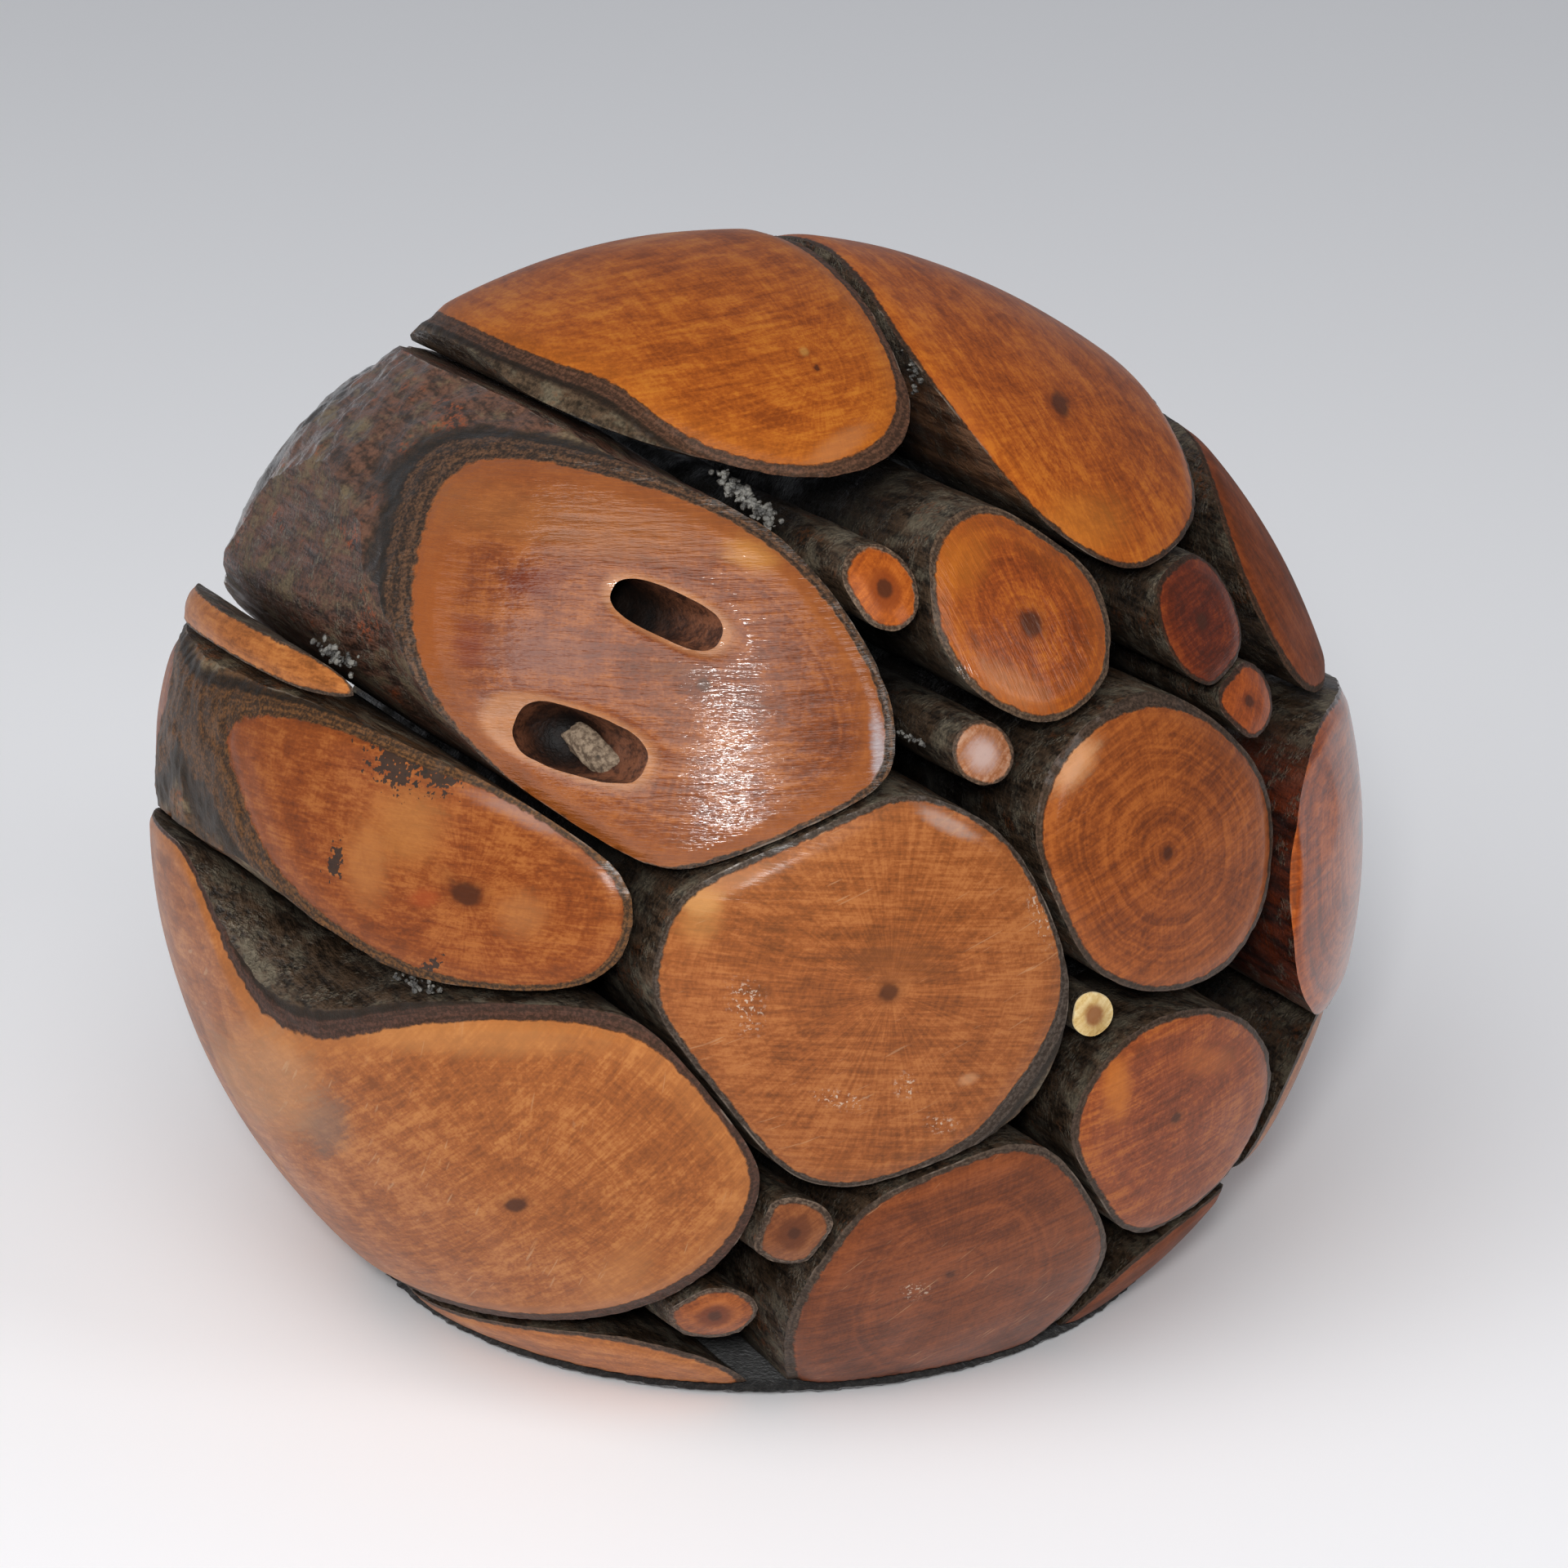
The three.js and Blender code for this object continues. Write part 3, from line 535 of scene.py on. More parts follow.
def bar_points(branch, seed):
    """A closed bar along the bundle, with the bark's relief where no neighbour bears on it."""
    round_mm = 2 * math.pi * max(branch["oval"]) * SIDEWAYS
    sides = max(LEAST_SIDES, int(round_mm / FLANK_ROUND))
    stations = np.linspace(-THROUGH, THROUGH, int(2 * THROUGH * SIDEWAYS / FLANK_ALONG))
    angle = np.tile(np.arange(sides) * 2 * np.pi / sides, len(stations))
    distance = np.repeat(stations, sides)
    reach, free = reach_of(branch, angle, distance)
    middle = place_of(branch)
    u, w = middle[0] + reach * np.cos(angle), middle[1] + reach * np.sin(angle)
    points = to_part(u, w, distance)
    stretched = np.stack([u * SIDEWAYS, w * UPWARD, distance * SIDEWAYS * RIDGE_STRETCH], axis=1)
    lumps = LUMP_DEPTH * layered_noise(points, LUMP_CELL, seed + 20, 2)
    ridges = RIDGE_DEPTH * np.abs(layered_noise(stretched, RIDGE_CELL, seed + 30))
    flakes = FLAKE_DEPTH * layered_noise(points, FLAKE_CELL, seed + 40, 2)
    rough = min(1.0, LEAST_ROUGH + branch["bark"])
    inward = free * rough * (BARK_DEPTH + lumps + ridges + flakes)
    shift = -np.maximum(inward, -MOST_OUT) / SIDEWAYS
    points += np.multiply.outer(shift * np.cos(angle) * SIDEWAYS, ACROSS)
    points += np.multiply.outer(shift * np.sin(angle) * UPWARD, UP)
    ends = [to_part(*middle, -THROUGH), to_part(*middle, THROUGH)]
    return np.concatenate([points, ends]), tube_faces(len(stations), sides)


def boolean(obj, cutter, operation):
    """obj's mesh after a boolean with the cutter, whose materials go with its faces."""
    modifier = obj.modifiers.new("cut", "BOOLEAN")
    modifier.operation = operation
    modifier.object = cutter
    modifier.solver = "MANIFOLD"
    modifier.material_mode = "TRANSFER"
    bpy.context.view_layer.update()
    evaluated = obj.evaluated_get(bpy.context.evaluated_depsgraph_get())
    mesh = bpy.data.meshes.new_from_object(evaluated)
    old = obj.data
    obj.modifiers.clear()
    obj.data = mesh
    bpy.data.meshes.remove(old)
    bpy.data.meshes.remove(cutter.data)


def surface_point(u, w):
    """The point of the ball's front at a section place, and the way out of the ball there."""
    start = TO_UNIT_BALL @ (to_part(u, w, 0.0) - BALL_CENTRE)
    step = TO_UNIT_BALL @ ALONG
    a, b = step @ step, start @ step
    distance = (math.sqrt(max(b * b - a * (start @ start - 1), 0)) - b) / a
    point = to_part(u, w, distance / SIDEWAYS)
    outward = TO_UNIT_BALL.T @ TO_UNIT_BALL @ (point - BALL_CENTRE)
    return point, outward / np.linalg.norm(outward)


def gallery_frame(gallery):
    """Mouth on the ball, the way in, and the two ways across the bore, in the part's millimetres."""
    mouth = surface_point(*gallery["at"])[0]
    outward = (mouth - BALL_CENTRE) / np.linalg.norm(mouth - BALL_CENTRE)
    facing, slant = math.radians(gallery["facing"]), math.radians(gallery["slant"])
    lean = ACROSS * math.cos(facing) + UP * math.sin(facing)
    lean -= outward * (lean @ outward)
    lean /= np.linalg.norm(lean)
    inward = -outward * math.cos(slant) + lean * math.sin(slant)
    side = np.cross(lean, outward)
    level = np.cross(inward, side)
    return mouth, inward, side, level / np.linalg.norm(level)


# The gallery bores: how square they are, their mesh, their lumps, and how far the cutter stands out
BORE_SQUARENESS, BORE_SIDES, BORE_RINGS = 2.6, 64, 60
BORE_LUMPS, BORE_CELL, BORE_OUTSIDE, LEAST_CLOSING = 0.06, 2.2, 4, 0.002


def bore_distance(gallery, points):
    """How far points are outside a bore's wall, in millimetres, below zero inside it."""
    mouth, _, side, level = gallery_frame(gallery)
    wide, high = (bore * SIDEWAYS / 2 for bore in gallery["bore"])
    x, y = (points - mouth) @ level / wide, (points - mouth) @ side / high
    away = (np.abs(x) ** BORE_SQUARENESS + np.abs(y) ** BORE_SQUARENESS) ** (1 / BORE_SQUARENESS)
    return (away - 1) * (wide + high) / 2


def mouth_roll(gallery, points):
    """How much a mouth's worn rim dips."""
    away = np.maximum(bore_distance(gallery, points), 0)
    mouth = gallery_frame(gallery)[0]
    close = np.linalg.norm(points - mouth, axis=1) < MOUTH_REACH
    return np.where(close, MOUTH_ROLL * np.exp(-(away / MOUTH_WIDE) ** 2), 0)


def bore_mesh(name, gallery, seed):
    """The cutter for one gallery: a lumpy oval bar with a round end."""
    mouth, inward, side, level = gallery_frame(gallery)
    wide, high = (bore * SIDEWAYS / 2 for bore in gallery["bore"])
    depth = gallery["depth"] * SIDEWAYS
    angle = np.arange(BORE_SIDES) * 2 * np.pi / BORE_SIDES
    cos, sin = np.cos(angle), np.sin(angle)
    unit = (np.abs(cos) ** BORE_SQUARENESS + np.abs(sin) ** BORE_SQUARENESS) ** (-1 / BORE_SQUARENESS)
    start = -BORE_OUTSIDE * wide
    end_round = min(wide, depth / 2)
    rows = []
    for way in np.linspace(start, depth, BORE_RINGS):
        left = (depth - way) / end_round
        closing = math.sqrt(max(1 - max(1 - left, 0) ** 2, LEAST_CLOSING))
        across = np.outer(cos * unit * wide * closing, level)
        rows.append(mouth + inward * way + across + np.outer(sin * unit * high * closing, side))
    points = np.concatenate(rows)
    radial = points - (mouth + np.multiply.outer((points - mouth) @ inward, inward))
    points = points + radial * BORE_LUMPS * layered_noise(points, BORE_CELL, seed)[:, None]
    points = np.concatenate([points, [mouth + inward * start, mouth + inward * depth]])
    return mesh_from(name, points, tube_faces(BORE_RINGS, BORE_SIDES)[:, ::-1])


def set_attribute(mesh, name, kind, values):
    attribute = mesh.attributes.new(name, kind, "POINT")
    field = "vector" if kind == "FLOAT_VECTOR" else "value"
    attribute.data.foreach_set(field, np.asarray(values, np.float32).ravel())


# In millimetres: bark this thin counts as planed bare, and what counts as near a gallery's mouth
BARE_BARK, NO_MOUTH, MOUTH_NEAR = 0.4, 9.0, 12


def measure_wood(mesh, branch):
    """Writes where each point lies in its branch, for the materials, in millimetres."""
    points = np.zeros(len(mesh.vertices) * 3, np.float32)
    mesh.vertices.foreach_get("co", points)
    points = points.reshape(-1, 3).astype(float) / MM
    u, w, distance = to_section(points)
    angle, away = round_middle(branch, u, w)
    pith = branch["pith"]
    wood = reach_of(branch, angle, distance, wood=True)[0]
    edge = (wood - away) * SIDEWAYS
    x, y = (u - pith[0]) * SIDEWAYS, (w - pith[1]) * UPWARD
    from_pith = np.hypot(x, y)
    inside = np.maximum(edge, 0.02)
    size = (branch["oval"][0] + branch["oval"][1]) / 2 * SIDEWAYS - branch["bark"]
    outer = reach_of(branch, angle, distance)[0]
    thick = bark_thickness(branch, angle) * SIDEWAYS
    radius = np.linalg.norm((points - BALL_CENTRE) @ TO_UNIT_BALL.T, axis=1)
    set_attribute(mesh, "ring", "FLOAT", from_pith / (from_pith + inside) * size)
    set_attribute(mesh, "bark", "FLOAT", -edge)
    set_attribute(mesh, "skin", "FLOAT", (outer - away) * SIDEWAYS)
    set_attribute(mesh, "bare", "FLOAT", np.clip(1 - thick / BARE_BARK, 0, 1) * (branch["bark"] > 0.35))
    set_attribute(mesh, "edge_of_cut", "FLOAT", (1 - radius) * BALL_SHORT / 2)
    mouth = np.full(len(points), NO_MOUTH)
    if branch is BRANCHES["galleried_branch"]:
        for gallery in GALLERIES:
            close = np.linalg.norm(points - gallery_frame(gallery)[0], axis=1) < MOUTH_NEAR
            mouth = np.where(close, np.minimum(mouth, bore_distance(gallery, points)), mouth)
    set_attribute(mesh, "mouth", "FLOAT", mouth)
    set_attribute(mesh, "grain", "FLOAT_VECTOR", np.stack([x, y, distance * SIDEWAYS], axis=1))


# Materials

def linear(code):
    """A colour's sRGB hex code as linear RGBA."""
    parts = [int(code[i:i + 2], 16) / 255 for i in (1, 3, 5)]
    return tuple(c / 12.92 if c <= 0.04045 else ((c + 0.055) / 1.055) ** 2.4 for c in parts) + (1.0,)


def add(tree, kind, inputs=(), out=0, **settings):
    """Adds a node with its settings and its inputs, in order or by name, and gives one output."""
    node = tree.nodes.new("ShaderNode" + kind)
    for field, value in settings.items():
        setattr(node, field, value)
    for socket, value in inputs.items() if isinstance(inputs, dict) else enumerate(inputs):
        if isinstance(value, bpy.types.NodeSocket):
            tree.links.new(value, node.inputs[socket])
        elif value is not None:
            node.inputs[socket].default_value = value
    return node.outputs[out]


SMOOTH = dict(interpolation_type="SMOOTHSTEP")
COLOUR = dict(data_type="RGBA", out=2)
TIMES, PLUS, TIMES_PLUS = (dict(operation=name) for name in ("MULTIPLY", "ADD", "MULTIPLY_ADD"))
STREAK_ROUGHNESS, LUMP_ROUGHNESS = 0.65, 0.6
GRAIN_STEPS = (17.3, 5.1, 2.7)
BLACK_SEAM, GLUE_AND_SHADE_BLACK, INK, SCUFF_DUST = "#0d0a09", "#070605", "#1f1b1b", "#c3b09c"
SCRATCH_DUST, WORN_RIM, VARNISH_RIM_HIGHLIGHT, GLUE_CRUST = "#b48d68", "#b98258", "#85786c", "#756a58"
AMBER_SHEEN = "#f2cf9f"


def summed(tree, *parts):
    """The sum of outputs, each given with its share."""
    total = None
    for part, share in parts:
        settings = TIMES if total is None else TIMES_PLUS
        total = add(tree, "Math", [part, share, total], **settings)
    return total


def new_material(name, plain):
    """A material, its node tree and its shader, whose own sockets get the plain values."""
    material = bpy.data.materials.new(name)
    material.use_nodes = True
    shader = material.node_tree.nodes["Principled BSDF"]
    for socket, value in plain.items():
        shader.inputs[socket].default_value = value
    return material, material.node_tree, shader


def dress(tree, shader, colour, rough, height, deep, varnish_height=None):
    """Gives the shader its colour, its roughness where that varies, and relief so many mm deep."""
    tree.links.new(colour, shader.inputs["Base Color"])
    if rough:
        tree.links.new(rough, shader.inputs["Roughness"])
    for socket, raised in (("Normal", height), ("Coat Normal", varnish_height)):
        if raised:
            relief = add(tree, "Bump", {"Height": raised, "Strength": 1.0, "Distance": deep * MM})
            tree.links.new(relief, shader.inputs[socket])


def streaks_along(tree, grain, turn, size, detail=3.0):
    """Streaks turned so many radians in the section, of a size in mm along, across and in depth."""
    turned = add(tree, "VectorRotate", {"Vector": grain, "Angle": -turn}, rotation_type="Z_AXIS")
    scaled = add(tree, "Mapping", {"Vector": turned, "Scale": [1 / mm for mm in size]})
    pattern = {"Vector": scaled, "Scale": 1.0, "Detail": detail, "Roughness": STREAK_ROUGHNESS}
    return add(tree, "TexNoise", pattern)


def lumps_of(tree, grain, size, detail=3.0):
    """Lumps about so many mm wide."""
    pattern = {"Vector": grain, "Scale": 1 / size, "Detail": detail, "Roughness": LUMP_ROUGHNESS}
    return add(tree, "TexNoise", pattern)


def own_grain(tree, seed):
    """The place in the branch in mm, plain and moved so that each branch has grain of its own."""
    grain = add(tree, "Attribute", attribute_name="grain", out="Vector")
    return grain, add(tree, "VectorMath", [grain, [seed * step for step in GRAIN_STEPS]], **PLUS)


def stored(tree, *names):
    """The values that measure_wood wrote on the mesh under these names."""
    return [add(tree, "Attribute", attribute_name=name, out="Fac") for name in names]


def in_mm(tree):
    """The place in the object in millimetres."""
    return add(tree, "VectorMath", [add(tree, "TexCoord", out="Object"), (1 / MM,) * 3], **TIMES)


def grown_bark(tree, here, branch):
    """Colour and height of bark as it grew: fibres along the branch, mottles, dust and some lichen."""
    dark, light, dust, fleck = map(linear, branch["flank_tones"])
    fibres = streaks_along(tree, here, 0.0, (0.67, 0.67, 5.0), 4.0)
    mottles = streaks_along(tree, here, 0.4, (2.4, 2.4, 4.5), 4.0)
    blotches = streaks_along(tree, here, 0.9, (3.3, 3.3, 6.2))
    specks = lumps_of(tree, here, 0.38)
    lit = add(tree, "MapRange", [summed(tree, (specks, 0.4), (fibres, 0.6)), 0.38, 0.62], **SMOOTH)
    colour = add(tree, "Mix", {0: lit, 6: dark, 7: light}, **COLOUR)
    dusty = add(tree, "Math", [
        add(tree, "MapRange", [mottles, 0.5, 0.66], **SMOOTH),
        add(tree, "MapRange", [specks, 0.3, 0.6, 0.3, 0.85], **SMOOTH)], **TIMES)
    colour = add(tree, "Mix", {0: dusty, 6: colour, 7: dust}, **COLOUR)
    flecked = add(tree, "Math", [
        add(tree, "MapRange", [blotches, 0.56, 0.68], **SMOOTH),
        add(tree, "MapRange", [specks, 0.45, 0.6], **SMOOTH)], **TIMES)
    colour = add(tree, "Mix", {0: flecked, 6: colour, 7: fleck}, **COLOUR)
    return colour, summed(tree, (specks, 0.5), (fibres, 0.8)), mottles


def place_mask(tree, branch, grain, front, mark, uneven, amount, ragged):
    """Where a mark lies on the front cut: an oval with an uneven edge, strongest in its middle."""
    at, size, turn = mark
    flat = add(tree, "VectorMath", [grain, (1, 1, 0)], **TIMES)
    place = ((at[0] - branch["pith"][0]) * SIDEWAYS, (at[1] - branch["pith"][1]) * UPWARD, 0)
    turned = (0, 0, math.radians(turn))
    oval = {"Vector": flat, "Location": place, "Rotation": turned, "Scale": (*size, 1)}
    oval = add(tree, "Mapping", oval, vector_type="TEXTURE")
    away = add(tree, "VectorMath", [oval], out="Value", operation="LENGTH")
    away = add(tree, "Math", [uneven, 2 * ragged, away], **TIMES_PLUS)
    mask = add(tree, "MapRange", [away, 0.3 + ragged, 1.25 + ragged, amount, 0.0], **SMOOTH)
    return add(tree, "Math", [mask, front], **TIMES)


def marks_of(tree, branch, grain, here, uneven):
    """Where stains, painted sheens and highlights, ink and scuffs with white dust lie on the front cut,
    and their colours.
    """
    front = add(tree, "MapRange", [add(tree, "SeparateXYZ", [grain], out="Z"), -0.5, 0.5], **SMOOTH)
    coats = []
    for tone, amount, *mark in branch["marks"]:
        coats.append((place_mask(tree, branch, grain, front, mark, uneven, amount, 0.8), linear(tone)))
    for mark in branch["ink"]:
        mask = place_mask(tree, branch, grain, front, mark, lumps_of(tree, here, 0.5, 2.0), 1.0, 2.2)
        coats.append((add(tree, "MapRange", [mask, 0.35, 0.6, 0.0, 0.93], **SMOOTH), linear(INK)))
    for mark in branch["scuffs"]:
        crumbs = add(tree, "MapRange", [lumps_of(tree, here, 0.28), 0.55, 0.63], **SMOOTH)
        mask = place_mask(tree, branch, grain, front, mark, uneven, 0.75, 0.9)
        coats.append((add(tree, "Math", [mask, crumbs], **TIMES), linear(SCUFF_DUST)))
    return coats


def end_grain(tree, branch, grain, here, ring, seed):
    """How light the wood is: rings, rays, pores, patches and rasp streaks. Also gives these parts."""
    turn = math.radians(branch["rasp"][0])
    parts = dict(
        lumps=lumps_of(tree, here, 2.2, 4.0),
        patches=lumps_of(tree, here, 7.0, 2.0),
        pores=lumps_of(tree, here, 0.24),
        streaks=streaks_along(tree, here, turn, (6.0, 0.6, 3.3), 4.0),
        fine=streaks_along(tree, here, turn, (3.5, 0.2, 1.2), 2.0),
        crossing=streaks_along(tree, here, turn + 1.3, (5.0, 0.32, 2.0), 2.0),
    )
    # rings, some 0.7 mm apart and uneven
    warped = add(tree, "Math", [parts["lumps"], 0.9, ring], **TIMES_PLUS)
    across = add(tree, "CombineXYZ", [warped, seed * 3.7])
    uneven_rings = {"Vector": across, "Scale": 1 / 0.7, "Detail": 3.0, "Roughness": 0.75}
    parts["rings"] = add(tree, "TexNoise", uneven_rings)
    parts["broad"] = add(tree, "TexNoise", {"Vector": across, "Scale": 1 / 3.3, "Detail": 1.0})
    # rays, a thirtieth of a radian wide round the pith, broken up outwards
    flat = add(tree, "VectorMath", [grain, (1, 1, 0)], **TIMES)
    around = add(tree, "VectorMath", [flat], operation="NORMALIZE")
    outward = add(tree, "CombineXYZ", [0.0, 0.0, add(tree, "Math", [ring, 0.009], **TIMES)])
    rayed = add(tree, "VectorMath", [around, outward], **PLUS)
    ray_fields = {"Vector": rayed, "Scale": 30.0, "Detail": 2.0, "Roughness": 0.6}
    parts["rays"] = add(tree, "TexNoise", ray_fields)
    tone = 0.5
    for part, amount in dict(
        rings=0.14 * branch["ringed"], broad=0.07, patches=0.12, lumps=0.14, streaks=0.2, fine=0.13,
        crossing=0.07, rays=0.09 + 0.12 * branch["rays"], pores=0.13,
    ).items():
        shift = add(tree, "MapRange", [parts[part], 0.3, 0.7, -amount, amount], **SMOOTH)
        tone = add(tree, "Math", [shift, tone], **PLUS)
    return tone, parts


def bark_ring(tree, here, branch, edge, lumps, pores):
    """The cut bark: thin layers, a black seam, then bark as it grew. Gives colour, cut, relief."""
    dark, light = map(linear, branch["bark_tones"])
    ragged = add(tree, "Math", [lumps_of(tree, here, 0.77, 4.0), 0.5, -0.25], **TIMES_PLUS)
    outside = add(tree, "Math", [edge, ragged], **PLUS)
    layers = add(tree, "CombineXYZ", [edge, add(tree, "Math", [lumps, 1.5], **TIMES)])
    layered = add(tree, "TexNoise", {"Vector": layers, "Scale": 3.2, "Detail": 3.0, "Roughness": 0.6})
    tone = summed(tree, (pores, 0.5), (layered, 0.55))
    lit = add(tree, "MapRange", [tone, 0.44, 0.66], **SMOOTH)
    bark = add(tree, "Mix", {0: lit, 6: dark, 7: light}, **COLOUR)
    grown, grown_height, _ = grown_bark(tree, here, branch)
    far = add(tree, "MapRange", [outside, 1.3, 1.9], **SMOOTH)
    bark = add(tree, "Mix", {0: far, 6: bark, 7: grown}, **COLOUR)
    seam = add(tree, "Math", [
        add(tree, "MapRange", [outside, 1.0, 1.3], **SMOOTH),
        add(tree, "MapRange", [outside, 1.5, 1.9, 0.85, 0.0], **SMOOTH)], **TIMES)
    bark = add(tree, "Mix", {0: seam, 6: bark, 7: linear(BLACK_SEAM)}, **COLOUR)
    cut = add(tree, "MapRange", [outside, -0.1, 0.06], **SMOOTH)
    near_relief = add(tree, "Math", [tone, cut], **TIMES)
    far_relief = add(tree, "Math", [grown_height, far], **TIMES)
    return bark, cut, summed(tree, (near_relief, 1.6), (far_relief, 2.0))


def cut_wood_material(name, branch, seed):
    """Branch wood, turned and rasped across the grain, then varnished.

    Fine rings and rays round a dark pith, rasp streaks one way, mottled varnish with soft gloss, and a
    dark worn ring of bark round it."""
    coat, coat_rough = branch["varnish"]
    plain = {
        "IOR": 1.5, "Specular IOR Level": 0.3, "Specular Tint": linear(AMBER_SHEEN),
        "Coat Weight": coat, "Coat Roughness": coat_rough, "Coat IOR": 1.5,
    }
    title = "varnished rasped end grain, " + name.replace("_", " ")
    material, tree, shader = new_material(title, plain)
    middle, light, dark = map(linear, branch["tones"])
    grain, here = own_grain(tree, seed)
    ring, edge, skin, mouth = stored(tree, "ring", "bark", "skin", "mouth")
    tone, parts = end_grain(tree, branch, grain, here, ring, seed)
    lumps, pores, streaks = parts["lumps"], parts["pores"], parts["streaks"]
    lower, upper = add(tree, "MapRange", [tone, 0.05, 0.52]), add(tree, "MapRange", [tone, 0.5, 0.95])
    # coats of colour, each as where it lies and its tone, the first of them sapwood under the bark
    under_bark = add(tree, "Math", [lumps, 1.6, edge], **TIMES_PLUS)
    sap = add(tree, "MapRange", [under_bark, -2.2, 0.6, 0.0, branch["margin"]], **SMOOTH)
    coats = [(upper, light), (sap, light)]
    # heartwood and pith
    uneven = add(tree, "Math", [lumps, 0.9, add(tree, "Math", [ring, -0.45], **PLUS)], **TIMES_PLUS)
    heart, pith = branch["heart_size"], branch["pith_size"]
    for tone_code, inner, outer, amount in (
        (dark, heart * 0.6, heart * 1.2, 0.8 if heart else 0.0), (dark, pith * 1.1, pith * 2.6, 0.45),
        (linear(branch["pith_tone"]), pith * 0.8, pith * 1.5, 0.85),
    ):
        if amount:
            stained = add(tree, "MapRange", [uneven, inner, outer, amount, 0.0], **SMOOTH)
            coats.append((stained, tone_code))
    coats += marks_of(tree, branch, grain, here, summed(tree, (streaks, 0.65), (pores, 0.35)))
    # thin scratches that hold light dust
    if branch["scratched"]:
        turn = math.radians(branch["rasp"][0]) + 0.5
        scratches = streaks_along(tree, here, turn, (4.0, 0.25, 3.3), 1.0)
        thin = add(tree, "MapRange", [scratches, 0.68, 0.74], **SMOOTH)
        held = add(tree, "MapRange", [parts["patches"], 0.45, 0.6, 0.0, branch["scratched"]], **SMOOTH)
        coats.append((add(tree, "Math", [thin, held], **TIMES), linear(SCRATCH_DUST)))
    # pale worn rim of a gallery mouth, the bark, and a thin light grey line along the outer edge:
    # varnish drawn up there, lightened as a painted highlight of the rim
    worn = add(tree, "MapRange", [mouth, 0.05, 0.6, 0.5, 0.0], **SMOOTH)
    bark, cut, bark_relief = bark_ring(tree, here, branch, edge, lumps, pores)
    varnish_rim_highlight = add(tree, "Math", [
        add(tree, "MapRange", [skin, 0.06, 0.2, 0.5, 0.0], **SMOOTH),
        add(tree, "MapRange", [lumps, 0.5, 0.6], **SMOOTH)], **TIMES)
    coats += [(worn, linear(WORN_RIM)), (cut, bark), (varnish_rim_highlight, linear(VARNISH_RIM_HIGHLIGHT))]
    colour = add(tree, "Mix", {0: lower, 6: dark, 7: middle}, **COLOUR)
    for where, coat_tone in coats:
        colour = add(tree, "Mix", {0: where, 6: colour, 7: coat_tone}, **COLOUR)
    rough = branch["dullness"]
    rough = add(tree, "MapRange", [parts["patches"], 0.3, 0.7, rough + 0.06, rough - 0.06], **SMOOTH)
    rough = add(tree, "Math", [cut, 0.15, rough], **TIMES_PLUS)
    rasped = branch["rasp"][1]
    relief = dict(fine=0.4 * rasped, streaks=0.8 * rasped, crossing=0.12, rings=0.12, pores=0.12)
    height = summed(tree, (bark_relief, 1.0), *((parts[part], share) for part, share in relief.items()))
    # the varnish levels out the pores and follows the grooves of the rasp alone
    grooves = summed(tree, (parts["fine"], 0.12 * rasped), (streaks, rasped))
    dress(tree, shader, colour, rough, height, 0.1, grooves)
    return material


def bark_material(name, branch, seed):
    """Bark as it grew on the branch, dusty in its hollows, with some varnish that ran over it.

    Dark, fibrous along the branch and mottled grey, with dull patches next to glossy ones. Where the
    branch was planed, bare wood shows, and deep between the branches it turns black: old glue and
    painted shade."""
    title = "grown bark with run varnish, " + name.replace("_", " ")
    material, tree, shader = new_material(title, {"IOR": 1.45})
    here = own_grain(tree, seed)[1]
    colour, height, mottles = grown_bark(tree, here, branch)
    bare, deep = stored(tree, "bare", "edge_of_cut")
    planed_dark, planed_light = map(linear, branch["planed_tones"])
    streaks = streaks_along(tree, here, 0.3, (0.9, 0.9, 6.2))
    streaks = add(tree, "MapRange", [streaks, 0.35, 0.65], **SMOOTH)
    planed = add(tree, "Mix", {0: streaks, 6: planed_dark, 7: planed_light}, **COLOUR)
    peeled = add(tree, "MapRange", [bare, 0.3, 0.7], **SMOOTH)
    colour = add(tree, "Mix", {0: peeled, 6: colour, 7: planed}, **COLOUR)
    # grey glue and dust that crusted between the branches
    crust = add(tree, "Math", [
        add(tree, "MapRange", [lumps_of(tree, here, 1.8), 0.5, 0.6], **SMOOTH),
        add(tree, "MapRange", [lumps_of(tree, here, 0.3), 0.42, 0.6, 0.0, 0.55], **SMOOTH)], **TIMES)
    colour = add(tree, "Mix", {0: crust, 6: colour, 7: linear(GLUE_CRUST)}, **COLOUR)
    # black glue and painted shade, darker the deeper the bark lies between the branches
    glue_and_shade = add(tree, "MapRange", [deep, 4.5, 15.0, 0.0, 0.88], **SMOOTH)
    colour = add(tree, "Mix", {0: glue_and_shade, 6: colour, 7: linear(GLUE_AND_SHADE_BLACK)}, **COLOUR)
    rough = add(tree, "MapRange", [mottles, 0.35, 0.65, 0.34, 0.72], **SMOOTH)
    dress(tree, shader, colour, rough, add(tree, "Math", [crust, 0.6, height], **TIMES_PLUS), 0.35)
    return material


def gallery_material():
    """Gallery walls gnawed by beetle larvae: dull brown wood, turned black inwards by painted shade."""
    plain = {"Roughness": 0.6, "Specular IOR Level": 0.3}
    material, tree, shader = new_material("gnawed gallery wall", plain)
    grain = add(tree, "Attribute", attribute_name="grain", out="Vector")
    deep, = stored(tree, "edge_of_cut")
    tone = summed(tree, (lumps_of(tree, grain, 0.25), 0.4), (lumps_of(tree, grain, 1.1), 0.6))
    lit = add(tree, "MapRange", [tone, 0.38, 0.62], **SMOOTH)
    colour = add(tree, "Mix", {0: lit, 6: linear("#361c10"), 7: linear("#6c4029")}, **COLOUR)
    # painted shade: black deep inside the bore
    shade = add(tree, "MapRange", [deep, 1.0, 4.0, 0.0, 0.95], **SMOOTH)
    colour = add(tree, "Mix", {0: shade, 6: colour, 7: linear("#060504")}, **COLOUR)
    dress(tree, shader, colour, None, tone, 0.2)
    return material


